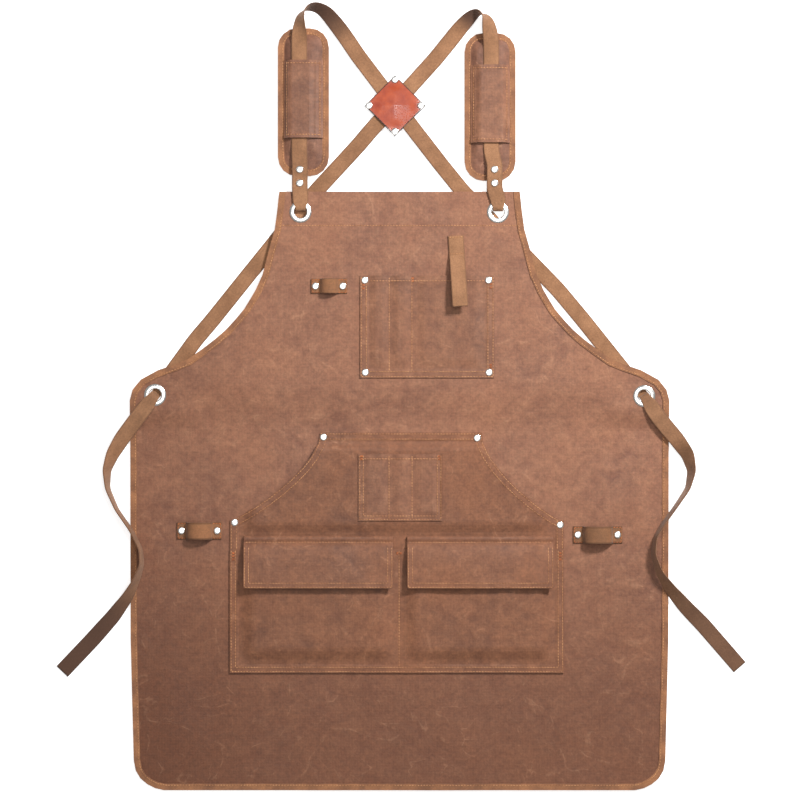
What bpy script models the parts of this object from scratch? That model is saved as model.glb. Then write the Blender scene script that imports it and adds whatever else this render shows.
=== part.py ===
"""Waxed canvas butcher and shop apron with padded cross-back straps, laid flat with its front up.

X runs across the apron, Y from the hem to the bib, Z up off the floor. Sizes are in millimetres
and turned into metres as each mesh is made. Cloth that is sewn together is kept SEAM apart, so
every piece of cloth, webbing, leather and metal is its own closed body.
"""
import math

import bmesh
import bpy
from mathutils import Vector

MM = 0.001

# Cloth and clearances
CANVAS = 0.9
SEAM = 0.3
STEP_UP = CANVAS + SEAM
WEBBING = 1.6
WEB_HALF = 10.0
LEATHER = 2.0

# Apron body
BODY_LENGTH = 762.0
BIB_TOP = 260.5
HEM_Y = BIB_TOP - BODY_LENGTH
SKIRT_HALF = 343.0
BIB_HALF = 153.0
BINDING_WIDTH = 7.0
BINDING_WRAP = CANVAS + SEAM
FACING_DEPTH = 43.0
# Drop below the bib and half width of the finished edge, from the bib's corner to the hip
EDGE_UPPER = [(0, 153), (24, 155.5), (48, 158.7), (74, 166), (105, 174), (125, 183), (137, 190),
              (150, 198), (163, 209), (176, 221), (188, 235), (201, 252), (213, 269), (220, 286),
              (227, 307), (239, 329), (252, 339.5), (265, 343), (273, 343), (305, 343)]
# Height above the hem and how far inside the hip the edge stands, down the skirt and round its corner
EDGE_LOWER = [(191, 0.7), (115, 2.5), (38, 4.5), (25, 7), (15, 13), (7.5, 22), (2.5, 32), (0, 43)]
# A wider skirt moves the hips, the waist grommets and what hangs from them outward by this much
WIDER = SKIRT_HALF - 343.0

# The bib is held up by the straps that lie under it
LIFT = 2 * WEBBING + 1.9
LIFT_FROM = -45.0
LIFT_TO = -13.0
LIFT_ROWS = [LIFT_FROM + (LIFT_TO - LIFT_FROM) * i / 6 for i in range(7)]

# Metalwork
GROMMET_OUTER = 14.0
GROMMET_INNER = 7.8
GROMMET_BARREL = 0.7
GROMMET_FLANGE = 1.2
GROMMET_SIDES = 16
RIVET_CAP = 4.7
RIVET_BACK = 4.2
RIVET_POST = 1.3
RIVET_DOME = 1.5
RIVET_SIDES = 10
POST_HOLE = RIVET_POST + SEAM
TOP_GROMMETS = {"left": (-126.0, 235.0), "right": (125.2, 234.6)}
WAIST_GROMMETS = {"left": (32.0 - SKIRT_HALF, 1.9), "right": (SKIRT_HALF - 31.6, 0.5)}

# Chest pocket: two narrow slots beside one wide compartment
CHEST_X = (-50.4, 120.5)
CHEST_Y = (23.6, 153.6)
CHEST_SEAMS = (-12.1, 16.6)
CHEST_FLAT = 12.0
POCKET_SLOPE = 14.0
POCKET_GAP = 4.9
SLOT_SLOPE = 8.0

# Kangaroo panel and the pockets on it
PANEL_X = (-216.1, 209.1)
PANEL_Y = (-351.9, -46.0)
PANEL_TOP_X = (-101.0, 104.6)
PANEL_SIDE_TOP = (-158.0, -158.8)
# Each curved hand opening is drawn towards two points on its way down to the side
PANEL_LEFT_PULLS = ((-102.0, -92.3), (-198.7, -153.2))
PANEL_RIGHT_PULLS = ((105.6, -92.7), (196.3, -157.9))
PANEL_CURVE_STEPS = 10
# How far in and down from its corner each of the panel's rivets stands
PANEL_RIVETS = {"top_left": (4.2, 5.8), "top_right": (5.6, 7.0), "low_left": (6.1, 2.5),
                "low_right": (4.5, 4.8)}
PANEL_FLAT = 11.5
PANEL_SLOPE = 22.0
PANEL_HEAD_SLOPE = 11.0
PANEL_GAP = 4.9
PANEL_LOW_GAP = 1.2
PANEL_FALL = (-177.0, -159.0)
LOWER_MOUTH = -194.4
LOWER_SEAM = -0.6
PENCIL_X = (-52.3, 54.2)
PENCIL_Y = (-158.1, -73.3)
PENCIL_SEAMS = (-13.4, 15.9)
PENCIL_FLAT = 3.0
PENCIL_SLOPE = 9.0

# Flaps, each hinged on the edge of its sewn root
FLAP_X = {"left": (-198.3, -8.3), "right": (9.6, 195.7)}
FLAP_ROOT = (-185.5, -177.9)
FLAP_END = -243.5
FLAP_CLOTH = 1.9
FLAP_ROOT_CLOTH = 3.4
FLAP_HINGE_Y = -187.4
FLAP_RISE = [(0.0, 0.0), (-3.0, 1.1), (-6.6, 2.4), (-12.0, 3.8), (-24.0, 5.6), (-40.0, 7.2),
             (FLAP_END - FLAP_HINGE_Y, 8.5)]

# Webbing loops for tools: centre, half length, rivet spacing, height of the bow
TOOL_LOOPS = {
    "screwdriver": ((-89.5, 140.3), 23.0, 34.7, 9.0, 19.0),
    "pliers": ((-255.0, -171.0), 28.4, 45.4, 13.0, 22.0),
    "hammer": ((252.4, -176.2), 31.2, 50.4, 15.0, 22.0),
}
LOOP_FOOT = 7.0

# Webbing tab over the chest pocket
TAB_HINGE = (73.0, 179.0)
TAB_ANCHOR = 25.5
TAB_LENGTH = 65.0
TAB_TURN = math.radians(3.5)

# Shoulder pads: centre, half width and half length
PADS = {"left": (-122.4, 374.8, -127.4), "right": (115.3, 368.8, 116.6)}
PAD_HALF = (32.5, 94.0)
PAD_CORNER = 24.0
PAD_FOAM = 5.3
PAD_EDGE = 8.4
PAD_SLOPE = 9.5
PAD_THIN_END = 24.0
PAD_THIN_FADE = 12.0
SLEEVE_HALF = 25.2
SLEEVE_Y = (-46.0, 53.0)

# Leather keeper over the crossing of the straps
KEEPER = (-5.7, 369.8)
KEEPER_HALF = 39.0
KEEPER_RIVET = 33.0
KEEPER_LOW = 1.1

# Rivet heights come from the stack of cloth each one goes through
SKIRT_TOP = STEP_UP + CANVAS
FLAP_HINGE_Z = SKIRT_TOP + PANEL_LOW_GAP + CANVAS + POCKET_GAP + 0.4
BIB_UNDER = LIFT + STEP_UP
BIB_FRONT = BIB_UNDER + CANVAS


# ---------------------------------------------------------------- scene and materials

for old in list(bpy.data.objects):
    bpy.data.objects.remove(old, do_unlink=True)

PARTS = bpy.data.collections.new("butcher_apron")
CUTTERS = bpy.data.collections.new("butcher_apron_cutters")
bpy.context.scene.collection.children.link(PARTS)
bpy.context.scene.collection.children.link(CUTTERS)


def linear(hex_colour):
    """Linear red, green and blue of a hex display colour."""
    channels = [int(hex_colour[i:i + 2], 16) / 255 for i in (0, 2, 4)]
    return [c / 12.92 if c < 0.04045 else ((c + 0.055) / 1.055) ** 2.4 for c in channels]


def principled(name, hex_colour, roughness, metallic):
    material = bpy.data.materials.new(name)
    material.use_nodes = True
    shader = material.node_tree.nodes["Principled BSDF"]
    shader.inputs["Base Color"].default_value = (*linear(hex_colour), 1)
    shader.inputs["Roughness"].default_value = roughness
    shader.inputs["Metallic"].default_value = metallic
    return material


MATERIALS = {
    "canvas": principled("waxed_canvas", "966A52", 0.72, 0),
    "webbing": principled("cotton_webbing", "A27D5C", 0.85, 0),
    "binding": principled("binding_tape", "9A7050", 0.8, 0),
    "leather": principled("oiled_leather", "B5522F", 0.35, 0),
    "nickel": principled("nickel_plate", "D6D3CD", 0.22, 1),
    "foam": principled("pad_foam", "4A4642", 0.95, 0),
}


def add_part(name, bm, material, origin=(0, 0, 0), smooth=False):
    """Close the mesh, turn millimetres into metres and hang the object on its origin."""
    bmesh.ops.recalc_face_normals(bm, faces=bm.faces[:])
    bmesh.ops.translate(bm, verts=bm.verts[:], vec=-Vector(origin))
    bmesh.ops.scale(bm, verts=bm.verts[:], vec=(MM, MM, MM))
    for face in bm.faces:
        face.smooth = smooth
    mesh = bpy.data.meshes.new(name)
    bm.to_mesh(mesh)
    bm.free()
    part = bpy.data.objects.new(name, mesh)
    part.location = Vector(origin) * MM
    part.data.materials.append(MATERIALS[material])
    PARTS.objects.link(part)
    return part


def slab(name, outline, rows, columns, low, high, material, origin=(0, 0, 0)):
    """A flat outline cut along rows and columns, given thickness, then laid on two height rules."""
    bm = bmesh.new()
    bm.faces.new([bm.verts.new((x, y, 0)) for x, y in outline])
    cuts = [((0, y, 0), (0, 1, 0)) for y in rows] + [((x, 0, 0), (1, 0, 0)) for x in columns]
    for point, normal in cuts:
        everything = bm.verts[:] + bm.edges[:] + bm.faces[:]
        bmesh.ops.bisect_plane(bm, geom=everything, dist=0.01, plane_co=point, plane_no=normal)
    lower = bm.verts[:]
    raised = bmesh.ops.extrude_face_region(bm, geom=bm.faces[:])
    upper = [item for item in raised["geom"] if isinstance(item, bmesh.types.BMVert)]
    for vert in lower:
        vert.co.z = low(vert.co.x, vert.co.y)
    for vert in upper:
        vert.co.z = high(vert.co.x, vert.co.y)
    return add_part(name, bm, material, origin)


def loft(name, rings, material, closed=False, origin=(0, 0, 0), twisted=False):
    """A solid through a row of sections that differ in place, turn and width.

    A twisted one is cut across its two wide sides the same way, so a thin strip never meets itself.
    """
    bm = bmesh.new()
    loops = [[bm.verts.new(corner) for corner in ring] for ring in rings]
    following = loops[1:] + loops[:1] if closed else loops[1:]
    for ring, after in zip(loops, following):
        for i in range(len(ring)):
            j = (i + 1) % len(ring)
            if not twisted:
                bm.faces.new((ring[i], ring[j], after[j], after[i]))
            elif i < 2:
                bm.faces.new((ring[i], ring[j], after[j]))
                bm.faces.new((ring[i], after[j], after[i]))
            else:
                bm.faces.new((ring[i], ring[j], after[i]))
                bm.faces.new((ring[j], after[j], after[i]))
    if not closed:
        bm.faces.new(loops[0][::-1])
        bm.faces.new(loops[-1])
    return add_part(name, bm, material, origin)


def ribbon(name, stations, thickness, material, origin=(0, 0, 0)):
    """Webbing through stations of x, y, z, bearing and tilt of its width in degrees, half width.

    A bearing of None lays the width square across the way the webbing runs.
    """
    centres = [Vector(s[:3]) for s in stations]
    rings = []
    for i, (x, y, z, bearing, tilt, half) in enumerate(stations):
        before = (centres[i] - centres[max(i - 1, 0)])
        after = (centres[min(i + 1, len(centres) - 1)] - centres[i])
        before = before.normalized() if before.length else after.normalized()
        after = after.normalized() if after.length else before
        along = (before + after).normalized()
        t = math.radians(tilt)
        level = Vector((along.y, -along.x, 0)).normalized()
        if bearing is not None:
            level = Vector((math.cos(math.radians(bearing)), math.sin(math.radians(bearing)), 0))
        across = level * math.cos(t) + Vector((0, 0, math.sin(t)))
        across = (across - along * across.dot(along)).normalized()
        mitre = max(along.dot(after), 0.6)
        up = along.cross(across).normalized() * thickness / 2 / mitre
        side = across * half
        centre = centres[i]
        rings.append([centre - side - up, centre + side - up, centre + side + up, centre - side + up])
    return loft(name, rings, material, origin=origin, twisted=True)


def turned(name, profile, sides, place, material):
    """A round piece: a profile of radius and height swept about an upright axis by Screw."""
    mesh = bpy.data.meshes.new(name)
    points = [(r * MM, 0, z * MM) for r, z in profile]
    edges = [(i, i + 1) for i in range(len(points) - 1)]
    if profile[0][0] > 0:
        edges.append((len(points) - 1, 0))
    mesh.from_pydata(points, edges, [])
    part = bpy.data.objects.new(name, mesh)
    part.location = (place[0] * MM, place[1] * MM, 0)
    part.data.materials.append(MATERIALS[material])
    PARTS.objects.link(part)
    screw = part.modifiers.new("turn", "SCREW")
    screw.steps = sides
    screw.render_steps = sides
    screw.use_merge_vertices = True
    screw.merge_threshold = 0.00001
    screw.use_smooth_shade = True
    return part


def punch(part, holes):
    """Cut round holes of x, y, radius and side count straight down through a part."""
    bm = bmesh.new()
    for x, y, radius, sides in holes:
        made = bmesh.ops.create_cone(bm, cap_ends=True, segments=sides, radius1=radius,
                                     radius2=radius, depth=60)
        bmesh.ops.translate(bm, verts=made["verts"], vec=(x, y, 0))
    bmesh.ops.scale(bm, verts=bm.verts[:], vec=(MM, MM, MM))
    mesh = bpy.data.meshes.new(part.name + "_holes")
    bm.to_mesh(mesh)
    bm.free()
    cutter = bpy.data.objects.new(part.name + "_holes", mesh)
    cutter.hide_render = True
    cutter.display_type = "WIRE"
    CUTTERS.objects.link(cutter)
    cut = part.modifiers.new("holes", "BOOLEAN")
    cut.operation = "DIFFERENCE"
    cut.solver = "EXACT"
    cut.object = cutter


def smooth(t):
    t = min(max(t, 0.0), 1.0)
    return t * t * (3 - 2 * t)


def lift(y):
    """Height the panel is carried above its level in the skirt."""
    return LIFT * smooth((y - LIFT_FROM) / (LIFT_TO - LIFT_FROM))


def ramp(start, direction, flat, slope):
    """Four cut lines that follow a slope leaving a seam."""
    return [start + direction * (flat + slope * part) for part in (0, 0.25, 0.5, 0.75, 1)]


def between(lines, first, last):
    """Those cut lines that fall well inside a span, in order and not repeated."""
    kept = []
    for line in sorted(lines):
        if first + 0.4 < line < last - 0.4 and (not kept or line - kept[-1] > 0.4):
            kept.append(line)
    return kept


def box_outline(xs, ys):
    return [(xs[0], ys[0]), (xs[1], ys[0]), (xs[1], ys[1]), (xs[0], ys[1])]


# ---------------------------------------------------------------- apron body and edge binding

RIVETS = []


def rivet(name, place, under, front):
    """Remember a rivet whose cloth stack runs from under to front."""
    RIVETS.append((name, place, under, front))
    return (place[0], place[1], POST_HOLE, RIVET_SIDES)


edge_right = [(half + WIDER * (half - BIB_HALF) / (343.0 - BIB_HALF), BIB_TOP - drop)
              for drop, half in EDGE_UPPER]
edge_right += [(SKIRT_HALF - within, HEM_Y + height) for height, within in EDGE_LOWER]
edge_right.append((0.0, HEM_Y))
edge_path = edge_right + [(-x, y) for x, y in reversed(edge_right[:-1])]


def outward(path, i):
    """Mitred outward direction at a point of the edge, which runs down the right side first."""
    before = Vector(path[i]) - Vector(path[max(i - 1, 0)])
    after = Vector(path[min(i + 1, len(path) - 1)]) - Vector(path[i])
    before = before.normalized() if before.length else after.normalized()
    after = after.normalized() if after.length else before
    along = (before + after).normalized()
    normal = Vector((-along.y, along.x))
    return normal / max(along.dot(after), 0.5)


def inset(path, distance):
    moved = []
    for i in range(len(path)):
        point = Vector(path[i]) - outward(path, i) * distance
        moved.append((point.x, point.y))
    return moved


sheet_path = inset(edge_path, BINDING_WRAP)
sheet_path[0] = (sheet_path[0][0], BIB_TOP)
sheet_path[-1] = (sheet_path[-1][0], BIB_TOP)

body_panel = slab("body_panel", sheet_path, LIFT_ROWS, [],
                  lambda x, y: STEP_UP + lift(y), lambda x, y: STEP_UP + CANVAS + lift(y), "canvas")

dense_path = []
for i, point in enumerate(edge_path[:-1]):
    dense_path.append(point)
    after = edge_path[i + 1]
    crossed = [y for y in LIFT_ROWS if min(point[1], after[1]) + 0.4 < y < max(point[1], after[1]) - 0.4]
    for y in sorted(crossed, reverse=after[1] < point[1]):
        share = (y - point[1]) / (after[1] - point[1])
        dense_path.append((point[0] + (after[0] - point[0]) * share, y))
dense_path.append(edge_path[-1])

binding_section = [(-BINDING_WIDTH - BINDING_WRAP, 0), (0, 0), (0, 2 * STEP_UP + CANVAS),
                   (-BINDING_WIDTH - BINDING_WRAP, 2 * STEP_UP + CANVAS),
                   (-BINDING_WIDTH - BINDING_WRAP, 2 * STEP_UP), (-CANVAS, 2 * STEP_UP),
                   (-CANVAS, CANVAS), (-BINDING_WIDTH - BINDING_WRAP, CANVAS)]
rings = []
for i, point in enumerate(dense_path):
    out = outward(dense_path, i)
    ring = []
    for reach, z in binding_section:
        x = point[0] + out.x * reach
        y = BIB_TOP if i in (0, len(dense_path) - 1) else point[1] + out.y * reach
        ring.append((x, y, z + lift(y)))
    rings.append(ring)
loft("edge_binding", rings, "binding")

facing_edge = [p for p in inset(edge_right, BINDING_WIDTH + BINDING_WRAP + SEAM)
               if p[1] > BIB_TOP - FACING_DEPTH]
facing_edge[0] = (facing_edge[0][0], BIB_TOP)
facing_edge.append((facing_edge[-1][0] + 1.0, BIB_TOP - FACING_DEPTH))
facing_outline = facing_edge + [(-x, y) for x, y in reversed(facing_edge)]
bib_facing = slab("bib_facing", facing_outline, [], [],
                  lambda x, y: LIFT, lambda x, y: LIFT + CANVAS, "canvas")

# ---------------------------------------------------------------- grommets

body_holes = []
eye_low = LIFT - SEAM - 1.0
eye_high = BIB_FRONT + SEAM
eye_profile = [(GROMMET_INNER, eye_high + GROMMET_FLANGE * 0.7),
               (GROMMET_INNER + 2.0, eye_high + GROMMET_FLANGE),
               (GROMMET_OUTER - 2.0, eye_high + GROMMET_FLANGE),
               (GROMMET_OUTER, eye_high + 0.3), (GROMMET_OUTER, eye_high),
               (GROMMET_INNER + GROMMET_BARREL, eye_high),
               (GROMMET_INNER + GROMMET_BARREL, LIFT - SEAM), (GROMMET_OUTER, LIFT - SEAM),
               (GROMMET_OUTER, eye_low), (GROMMET_INNER, eye_low)]
eye_hole = (GROMMET_INNER + GROMMET_BARREL + SEAM) / math.cos(math.pi / GROMMET_SIDES)
for level, places in (("top", TOP_GROMMETS), ("waist", WAIST_GROMMETS)):
    for side, place in places.items():
        turned(f"grommet_{level}_{side}", eye_profile, GROMMET_SIDES, place, "nickel")
        body_holes.append((*place, eye_hole, GROMMET_SIDES))
punch(bib_facing, [hole for hole in body_holes if hole[1] > BIB_TOP - FACING_DEPTH])

# ---------------------------------------------------------------- chest pocket


def chest_gap(x, y):
    """How far the chest pocket stands off the bib."""
    first, second = CHEST_SEAMS
    rise_bottom = smooth((y - CHEST_Y[0] - CHEST_FLAT) / POCKET_SLOPE)
    if x >= second:
        sides = smooth((x - second - 3) / POCKET_SLOPE)
        sides *= smooth((CHEST_X[1] - CHEST_FLAT - x) / POCKET_SLOPE)
        return SEAM + (POCKET_GAP - SEAM) * sides * rise_bottom
    if x >= first:
        sides = smooth((x - first - 2) / SLOT_SLOPE) * smooth((second - 2 - x) / SLOT_SLOPE)
    else:
        sides = smooth((x - CHEST_X[0] - CHEST_FLAT) / SLOT_SLOPE) * smooth((first - 2 - x) / SLOT_SLOPE)
    return SEAM + (POCKET_GAP - SEAM) * sides * rise_bottom


first, second = CHEST_SEAMS
chest_columns = (ramp(CHEST_X[0], 1, CHEST_FLAT, SLOT_SLOPE)[::2] + ramp(first, -1, 2, SLOT_SLOPE)[::2]
                 + ramp(first, 1, 2, SLOT_SLOPE)[::2] + ramp(second, -1, 2, SLOT_SLOPE)[::2]
                 + [first, second]
                 + ramp(second, 1, 3, POCKET_SLOPE) + ramp(CHEST_X[1], -1, CHEST_FLAT, POCKET_SLOPE))
chest_rows = ramp(CHEST_Y[0], 1, CHEST_FLAT, POCKET_SLOPE)
chest_pocket = slab("chest_pocket", box_outline(CHEST_X, CHEST_Y), between(chest_rows, *CHEST_Y),
                    between(chest_columns, *CHEST_X), lambda x, y: BIB_FRONT + chest_gap(x, y),
                    lambda x, y: BIB_FRONT + CANVAS + chest_gap(x, y), "canvas")
chest_rivets = {"top_left": (-44.0, 147.8), "top_right": (113.3, 147.8),
                "low_left": (-43.6, 30.6), "low_right": (113.9, 30.6)}
chest_holes = [rivet(f"rivet_chest_{corner}", place, BIB_UNDER, BIB_FRONT + STEP_UP)
               for corner, place in chest_rivets.items()]
punch(chest_pocket, chest_holes)
body_holes += chest_holes

# ---------------------------------------------------------------- kangaroo panel and its pockets


def curved(start, first_pull, second_pull, end, steps):
    """A smooth edge from one corner to the next, drawn towards two points on the way."""
    points = []
    for i in range(steps + 1):
        t = i / steps
        shares = ((1 - t) ** 3, 3 * (1 - t) ** 2 * t, 3 * (1 - t) * t ** 2, t ** 3)
        guides = (start, first_pull, second_pull, end)
        points.append(tuple(sum(share * guide[axis] for share, guide in zip(shares, guides))
                            for axis in (0, 1)))
    return points


def panel_gap(x, y):
    """How far the kangaroo panel stands off the skirt."""
    deep = PANEL_LOW_GAP + (PANEL_GAP - PANEL_LOW_GAP) * smooth(
        (y - PANEL_FALL[0]) / (PANEL_FALL[1] - PANEL_FALL[0]))
    rise = smooth((PANEL_Y[1] - y - PANEL_FLAT) / PANEL_HEAD_SLOPE)
    rise *= smooth((y - PANEL_Y[0] - PANEL_FLAT) / PANEL_SLOPE)
    rise *= smooth((x - PANEL_X[0] - PANEL_FLAT) / PANEL_SLOPE)
    rise *= smooth((PANEL_X[1] - PANEL_FLAT - x) / PANEL_SLOPE)
    return SEAM + (deep - SEAM) * rise


def panel_front(x, y):
    return SKIRT_TOP + panel_gap(x, y) + CANVAS


def lower_gap(x, y):
    """How far the two flap pockets stand off the kangaroo panel."""
    if x < LOWER_SEAM:
        left, right, left_flat, right_flat = PANEL_X[0], LOWER_SEAM, PANEL_FLAT, 4
    else:
        left, right, left_flat, right_flat = LOWER_SEAM, PANEL_X[1], 4, PANEL_FLAT
    rise = smooth((x - left - left_flat) / PANEL_SLOPE) * smooth((right - right_flat - x) / PANEL_SLOPE)
    rise *= smooth((y - PANEL_Y[0] - PANEL_FLAT) / PANEL_SLOPE)
    return SEAM + (POCKET_GAP - SEAM) * rise


def pencil_gap(x, y):
    """How far the three pencil slots stand off the kangaroo panel."""
    stops = (PENCIL_X[0], *PENCIL_SEAMS, PENCIL_X[1])
    rise = smooth((y - PENCIL_Y[0] - PENCIL_FLAT) / PENCIL_SLOPE)
    for left, right in zip(stops, stops[1:]):
        if left <= x <= right:
            rise *= smooth((x - left - PENCIL_FLAT) / PENCIL_SLOPE)
            rise *= smooth((right - PENCIL_FLAT - x) / PENCIL_SLOPE)
            break
    return SEAM + (POCKET_GAP - SEAM) * rise


pencil_columns = [*PENCIL_SEAMS]
for left, right in zip((PENCIL_X[0], *PENCIL_SEAMS), (*PENCIL_SEAMS, PENCIL_X[1])):
    pencil_columns += ramp(left, 1, PENCIL_FLAT, PENCIL_SLOPE)[::2]
    pencil_columns += ramp(right, -1, PENCIL_FLAT, PENCIL_SLOPE)[::2]
panel_rows = (ramp(PANEL_Y[1], -1, PANEL_FLAT, PANEL_HEAD_SLOPE) + ramp(PANEL_Y[0], 1, PANEL_FLAT, PANEL_SLOPE)
              + [PANEL_FALL[0] + (PANEL_FALL[1] - PANEL_FALL[0]) * part for part in (0, 0.25, 0.5, 0.75, 1)])
panel_columns = ramp(PANEL_X[0], 1, PANEL_FLAT, PANEL_SLOPE) + ramp(PANEL_X[1], -1, PANEL_FLAT, PANEL_SLOPE)
panel_top = [(x, PANEL_Y[1]) for x in PANEL_TOP_X]
panel_side = list(zip(PANEL_X, PANEL_SIDE_TOP))
panel_outline = ([(PANEL_X[0], PANEL_Y[0]), (PANEL_X[1], PANEL_Y[0])]
                 + curved(panel_side[1], *PANEL_RIGHT_PULLS[::-1], panel_top[1], PANEL_CURVE_STEPS)
                 + curved(panel_top[0], *PANEL_LEFT_PULLS, panel_side[0], PANEL_CURVE_STEPS))
kangaroo_pocket = slab("kangaroo_pocket", panel_outline, between(panel_rows, *PANEL_Y),
                       between(panel_columns, *PANEL_X), lambda x, y: SKIRT_TOP + panel_gap(x, y),
                       panel_front, "canvas")
panel_corners = dict(zip(PANEL_RIVETS, panel_top + panel_side))
panel_holes = []
for corner, (inward, down) in PANEL_RIVETS.items():
    x, y = panel_corners[corner]
    place = (x + math.copysign(inward, -x), y - down)
    panel_holes.append(rivet(f"rivet_panel_{corner}", place, STEP_UP, SKIRT_TOP + STEP_UP))
punch(kangaroo_pocket, panel_holes)
body_holes += panel_holes

lower_columns = panel_columns + ramp(LOWER_SEAM, -1, 4, PANEL_SLOPE) + ramp(LOWER_SEAM, 1, 4, PANEL_SLOPE)
lower_span = (PANEL_Y[0], LOWER_MOUTH)
slab("lower_pocket", box_outline(PANEL_X, lower_span), between(panel_rows, *lower_span),
     between(lower_columns + [LOWER_SEAM], *PANEL_X),
     lambda x, y: panel_front(x, y) + lower_gap(x, y),
     lambda x, y: panel_front(x, y) + lower_gap(x, y) + CANVAS, "canvas")

pencil_rows = panel_rows + ramp(PENCIL_Y[0], 1, PENCIL_FLAT, PENCIL_SLOPE)
slab("pencil_pocket", box_outline(PENCIL_X, PENCIL_Y), between(pencil_rows, *PENCIL_Y),
     between(pencil_columns, *PENCIL_X),
     lambda x, y: panel_front(x, y) + pencil_gap(x, y),
     lambda x, y: panel_front(x, y) + pencil_gap(x, y) + CANVAS, "canvas")

# ---------------------------------------------------------------- flaps


def flap_middle(x, y):
    """Height of the middle of the flap cloth at its distance below the hinge."""
    reach = y - FLAP_HINGE_Y
    for (near, low), (far, high) in zip(FLAP_RISE, FLAP_RISE[1:]):
        if far <= reach <= near:
            return FLAP_HINGE_Z + low + (high - low) * (reach - near) / (far - near)
    return FLAP_HINGE_Z + FLAP_RISE[-1][1]


for side, span in FLAP_X.items():
    root_level = SKIRT_TOP + PANEL_LOW_GAP + STEP_UP
    slab(f"flap_seam_{side}", box_outline(span, FLAP_ROOT), [], [],
         lambda x, y: root_level, lambda x, y: root_level + FLAP_ROOT_CLOTH, "canvas")
    flap_rows = [FLAP_HINGE_Y + reach for reach, rise in FLAP_RISE[1:-1]]
    slab(f"flap_{side}", box_outline(span, (FLAP_END, FLAP_HINGE_Y - 1.0)), flap_rows, [],
         lambda x, y: flap_middle(x, y) - FLAP_CLOTH / 2,
         lambda x, y: flap_middle(x, y) + FLAP_CLOTH / 2, "canvas",
         origin=((span[0] + span[1]) / 2, FLAP_HINGE_Y, FLAP_HINGE_Z))

# ---------------------------------------------------------------- tool loops

for tool, (centre, half, spacing, bow, width) in TOOL_LOOPS.items():
    base = SKIRT_TOP + lift(centre[1])
    foot = base + SEAM + WEBBING / 2
    inner = spacing / 2 - LOOP_FOOT
    stations = [(centre[0] - half, centre[1], foot, 90, 0, width / 2),
                (centre[0] - inner - 1.4, centre[1], foot, 90, 0, width / 2)]
    for step in range(9):
        turn = math.pi * step / 8
        x = centre[0] - inner * math.cos(turn)
        z = foot + 1.2 + (bow - 1.2) * math.sin(turn) ** 0.8
        stations.append((x, centre[1], z, 90, 0, width / 2))
    stations.append((centre[0] + inner + 1.4, centre[1], foot, 90, 0, width / 2))
    stations.append((centre[0] + half, centre[1], foot, 90, 0, width / 2))
    loop = ribbon(f"loop_{tool}", stations, WEBBING, "webbing")
    loop_holes = []
    for end, sign in (("left", -1), ("right", 1)):
        place = (centre[0] + sign * spacing / 2, centre[1])
        loop_holes.append(rivet(f"rivet_{tool}_{end}", place, base - CANVAS, base + SEAM + WEBBING))
    punch(loop, loop_holes)
    body_holes += loop_holes

punch(body_panel, body_holes)

# ---------------------------------------------------------------- webbing tab on the chest

tab_along = Vector((math.sin(TAB_TURN), -math.cos(TAB_TURN)))
tab_bearing = math.degrees(TAB_TURN)
tab_level = BIB_FRONT + SEAM + WEBBING


def tab_station(reach, z):
    return (TAB_HINGE[0] + tab_along.x * reach, TAB_HINGE[1] + tab_along.y * reach, z, tab_bearing, 0,
            WEB_HALF)


ribbon("chest_tab_anchor", [tab_station(-TAB_ANCHOR, tab_level - 0.4), tab_station(-2.2, tab_level - 0.4)],
       2 * WEBBING - 0.8, "webbing")
tab_rise = [(1.4, 1.6), (8, 3.8), (16, 6.6), (25, 9.2), (36, 11.4), (48, 13.2), (TAB_LENGTH, 15.0)]
ribbon("chest_tab", [tab_station(reach, tab_level + rise) for reach, rise in tab_rise], WEBBING, "webbing",
       origin=(*TAB_HINGE, tab_level + 1.6))

# ---------------------------------------------------------------- shoulder pads

PAD_COVER_EDGE = 2 * STEP_UP
pad_sleeve_low = PAD_COVER_EDGE + PAD_FOAM + STEP_UP


def rounded(low, high, radius):
    """Corner-rounded outline between two opposite corners, counter-clockwise."""
    points = []
    for turn, (x, y) in enumerate((high, (low[0], high[1]), low, (high[0], low[1]))):
        sign_x = 1 if x == high[0] else -1
        sign_y = 1 if y == high[1] else -1
        for step in range(5):
            angle = math.pi / 2 * (turn + step / 4)
            points.append((x - sign_x * radius + radius * math.cos(angle),
                           y - sign_y * radius + radius * math.sin(angle)))
    return points


def pad_ring(centre, reach, share):
    """Outline of the pad at one step of its slope, drawn further in at the thin lower end."""
    inward = PAD_EDGE + PAD_SLOPE * share if share is not None else reach
    thin = PAD_THIN_END + PAD_THIN_FADE * share if share is not None else reach
    low = (centre[0] - PAD_HALF[0] + inward, centre[1] - PAD_HALF[1] + thin)
    high = (centre[0] + PAD_HALF[0] - inward, centre[1] + PAD_HALF[1] - inward)
    return rounded(low, high, max(PAD_CORNER - inward, 6.0))


def at_height(outline, z):
    return [(x, y, z) for x, y in outline]


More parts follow.
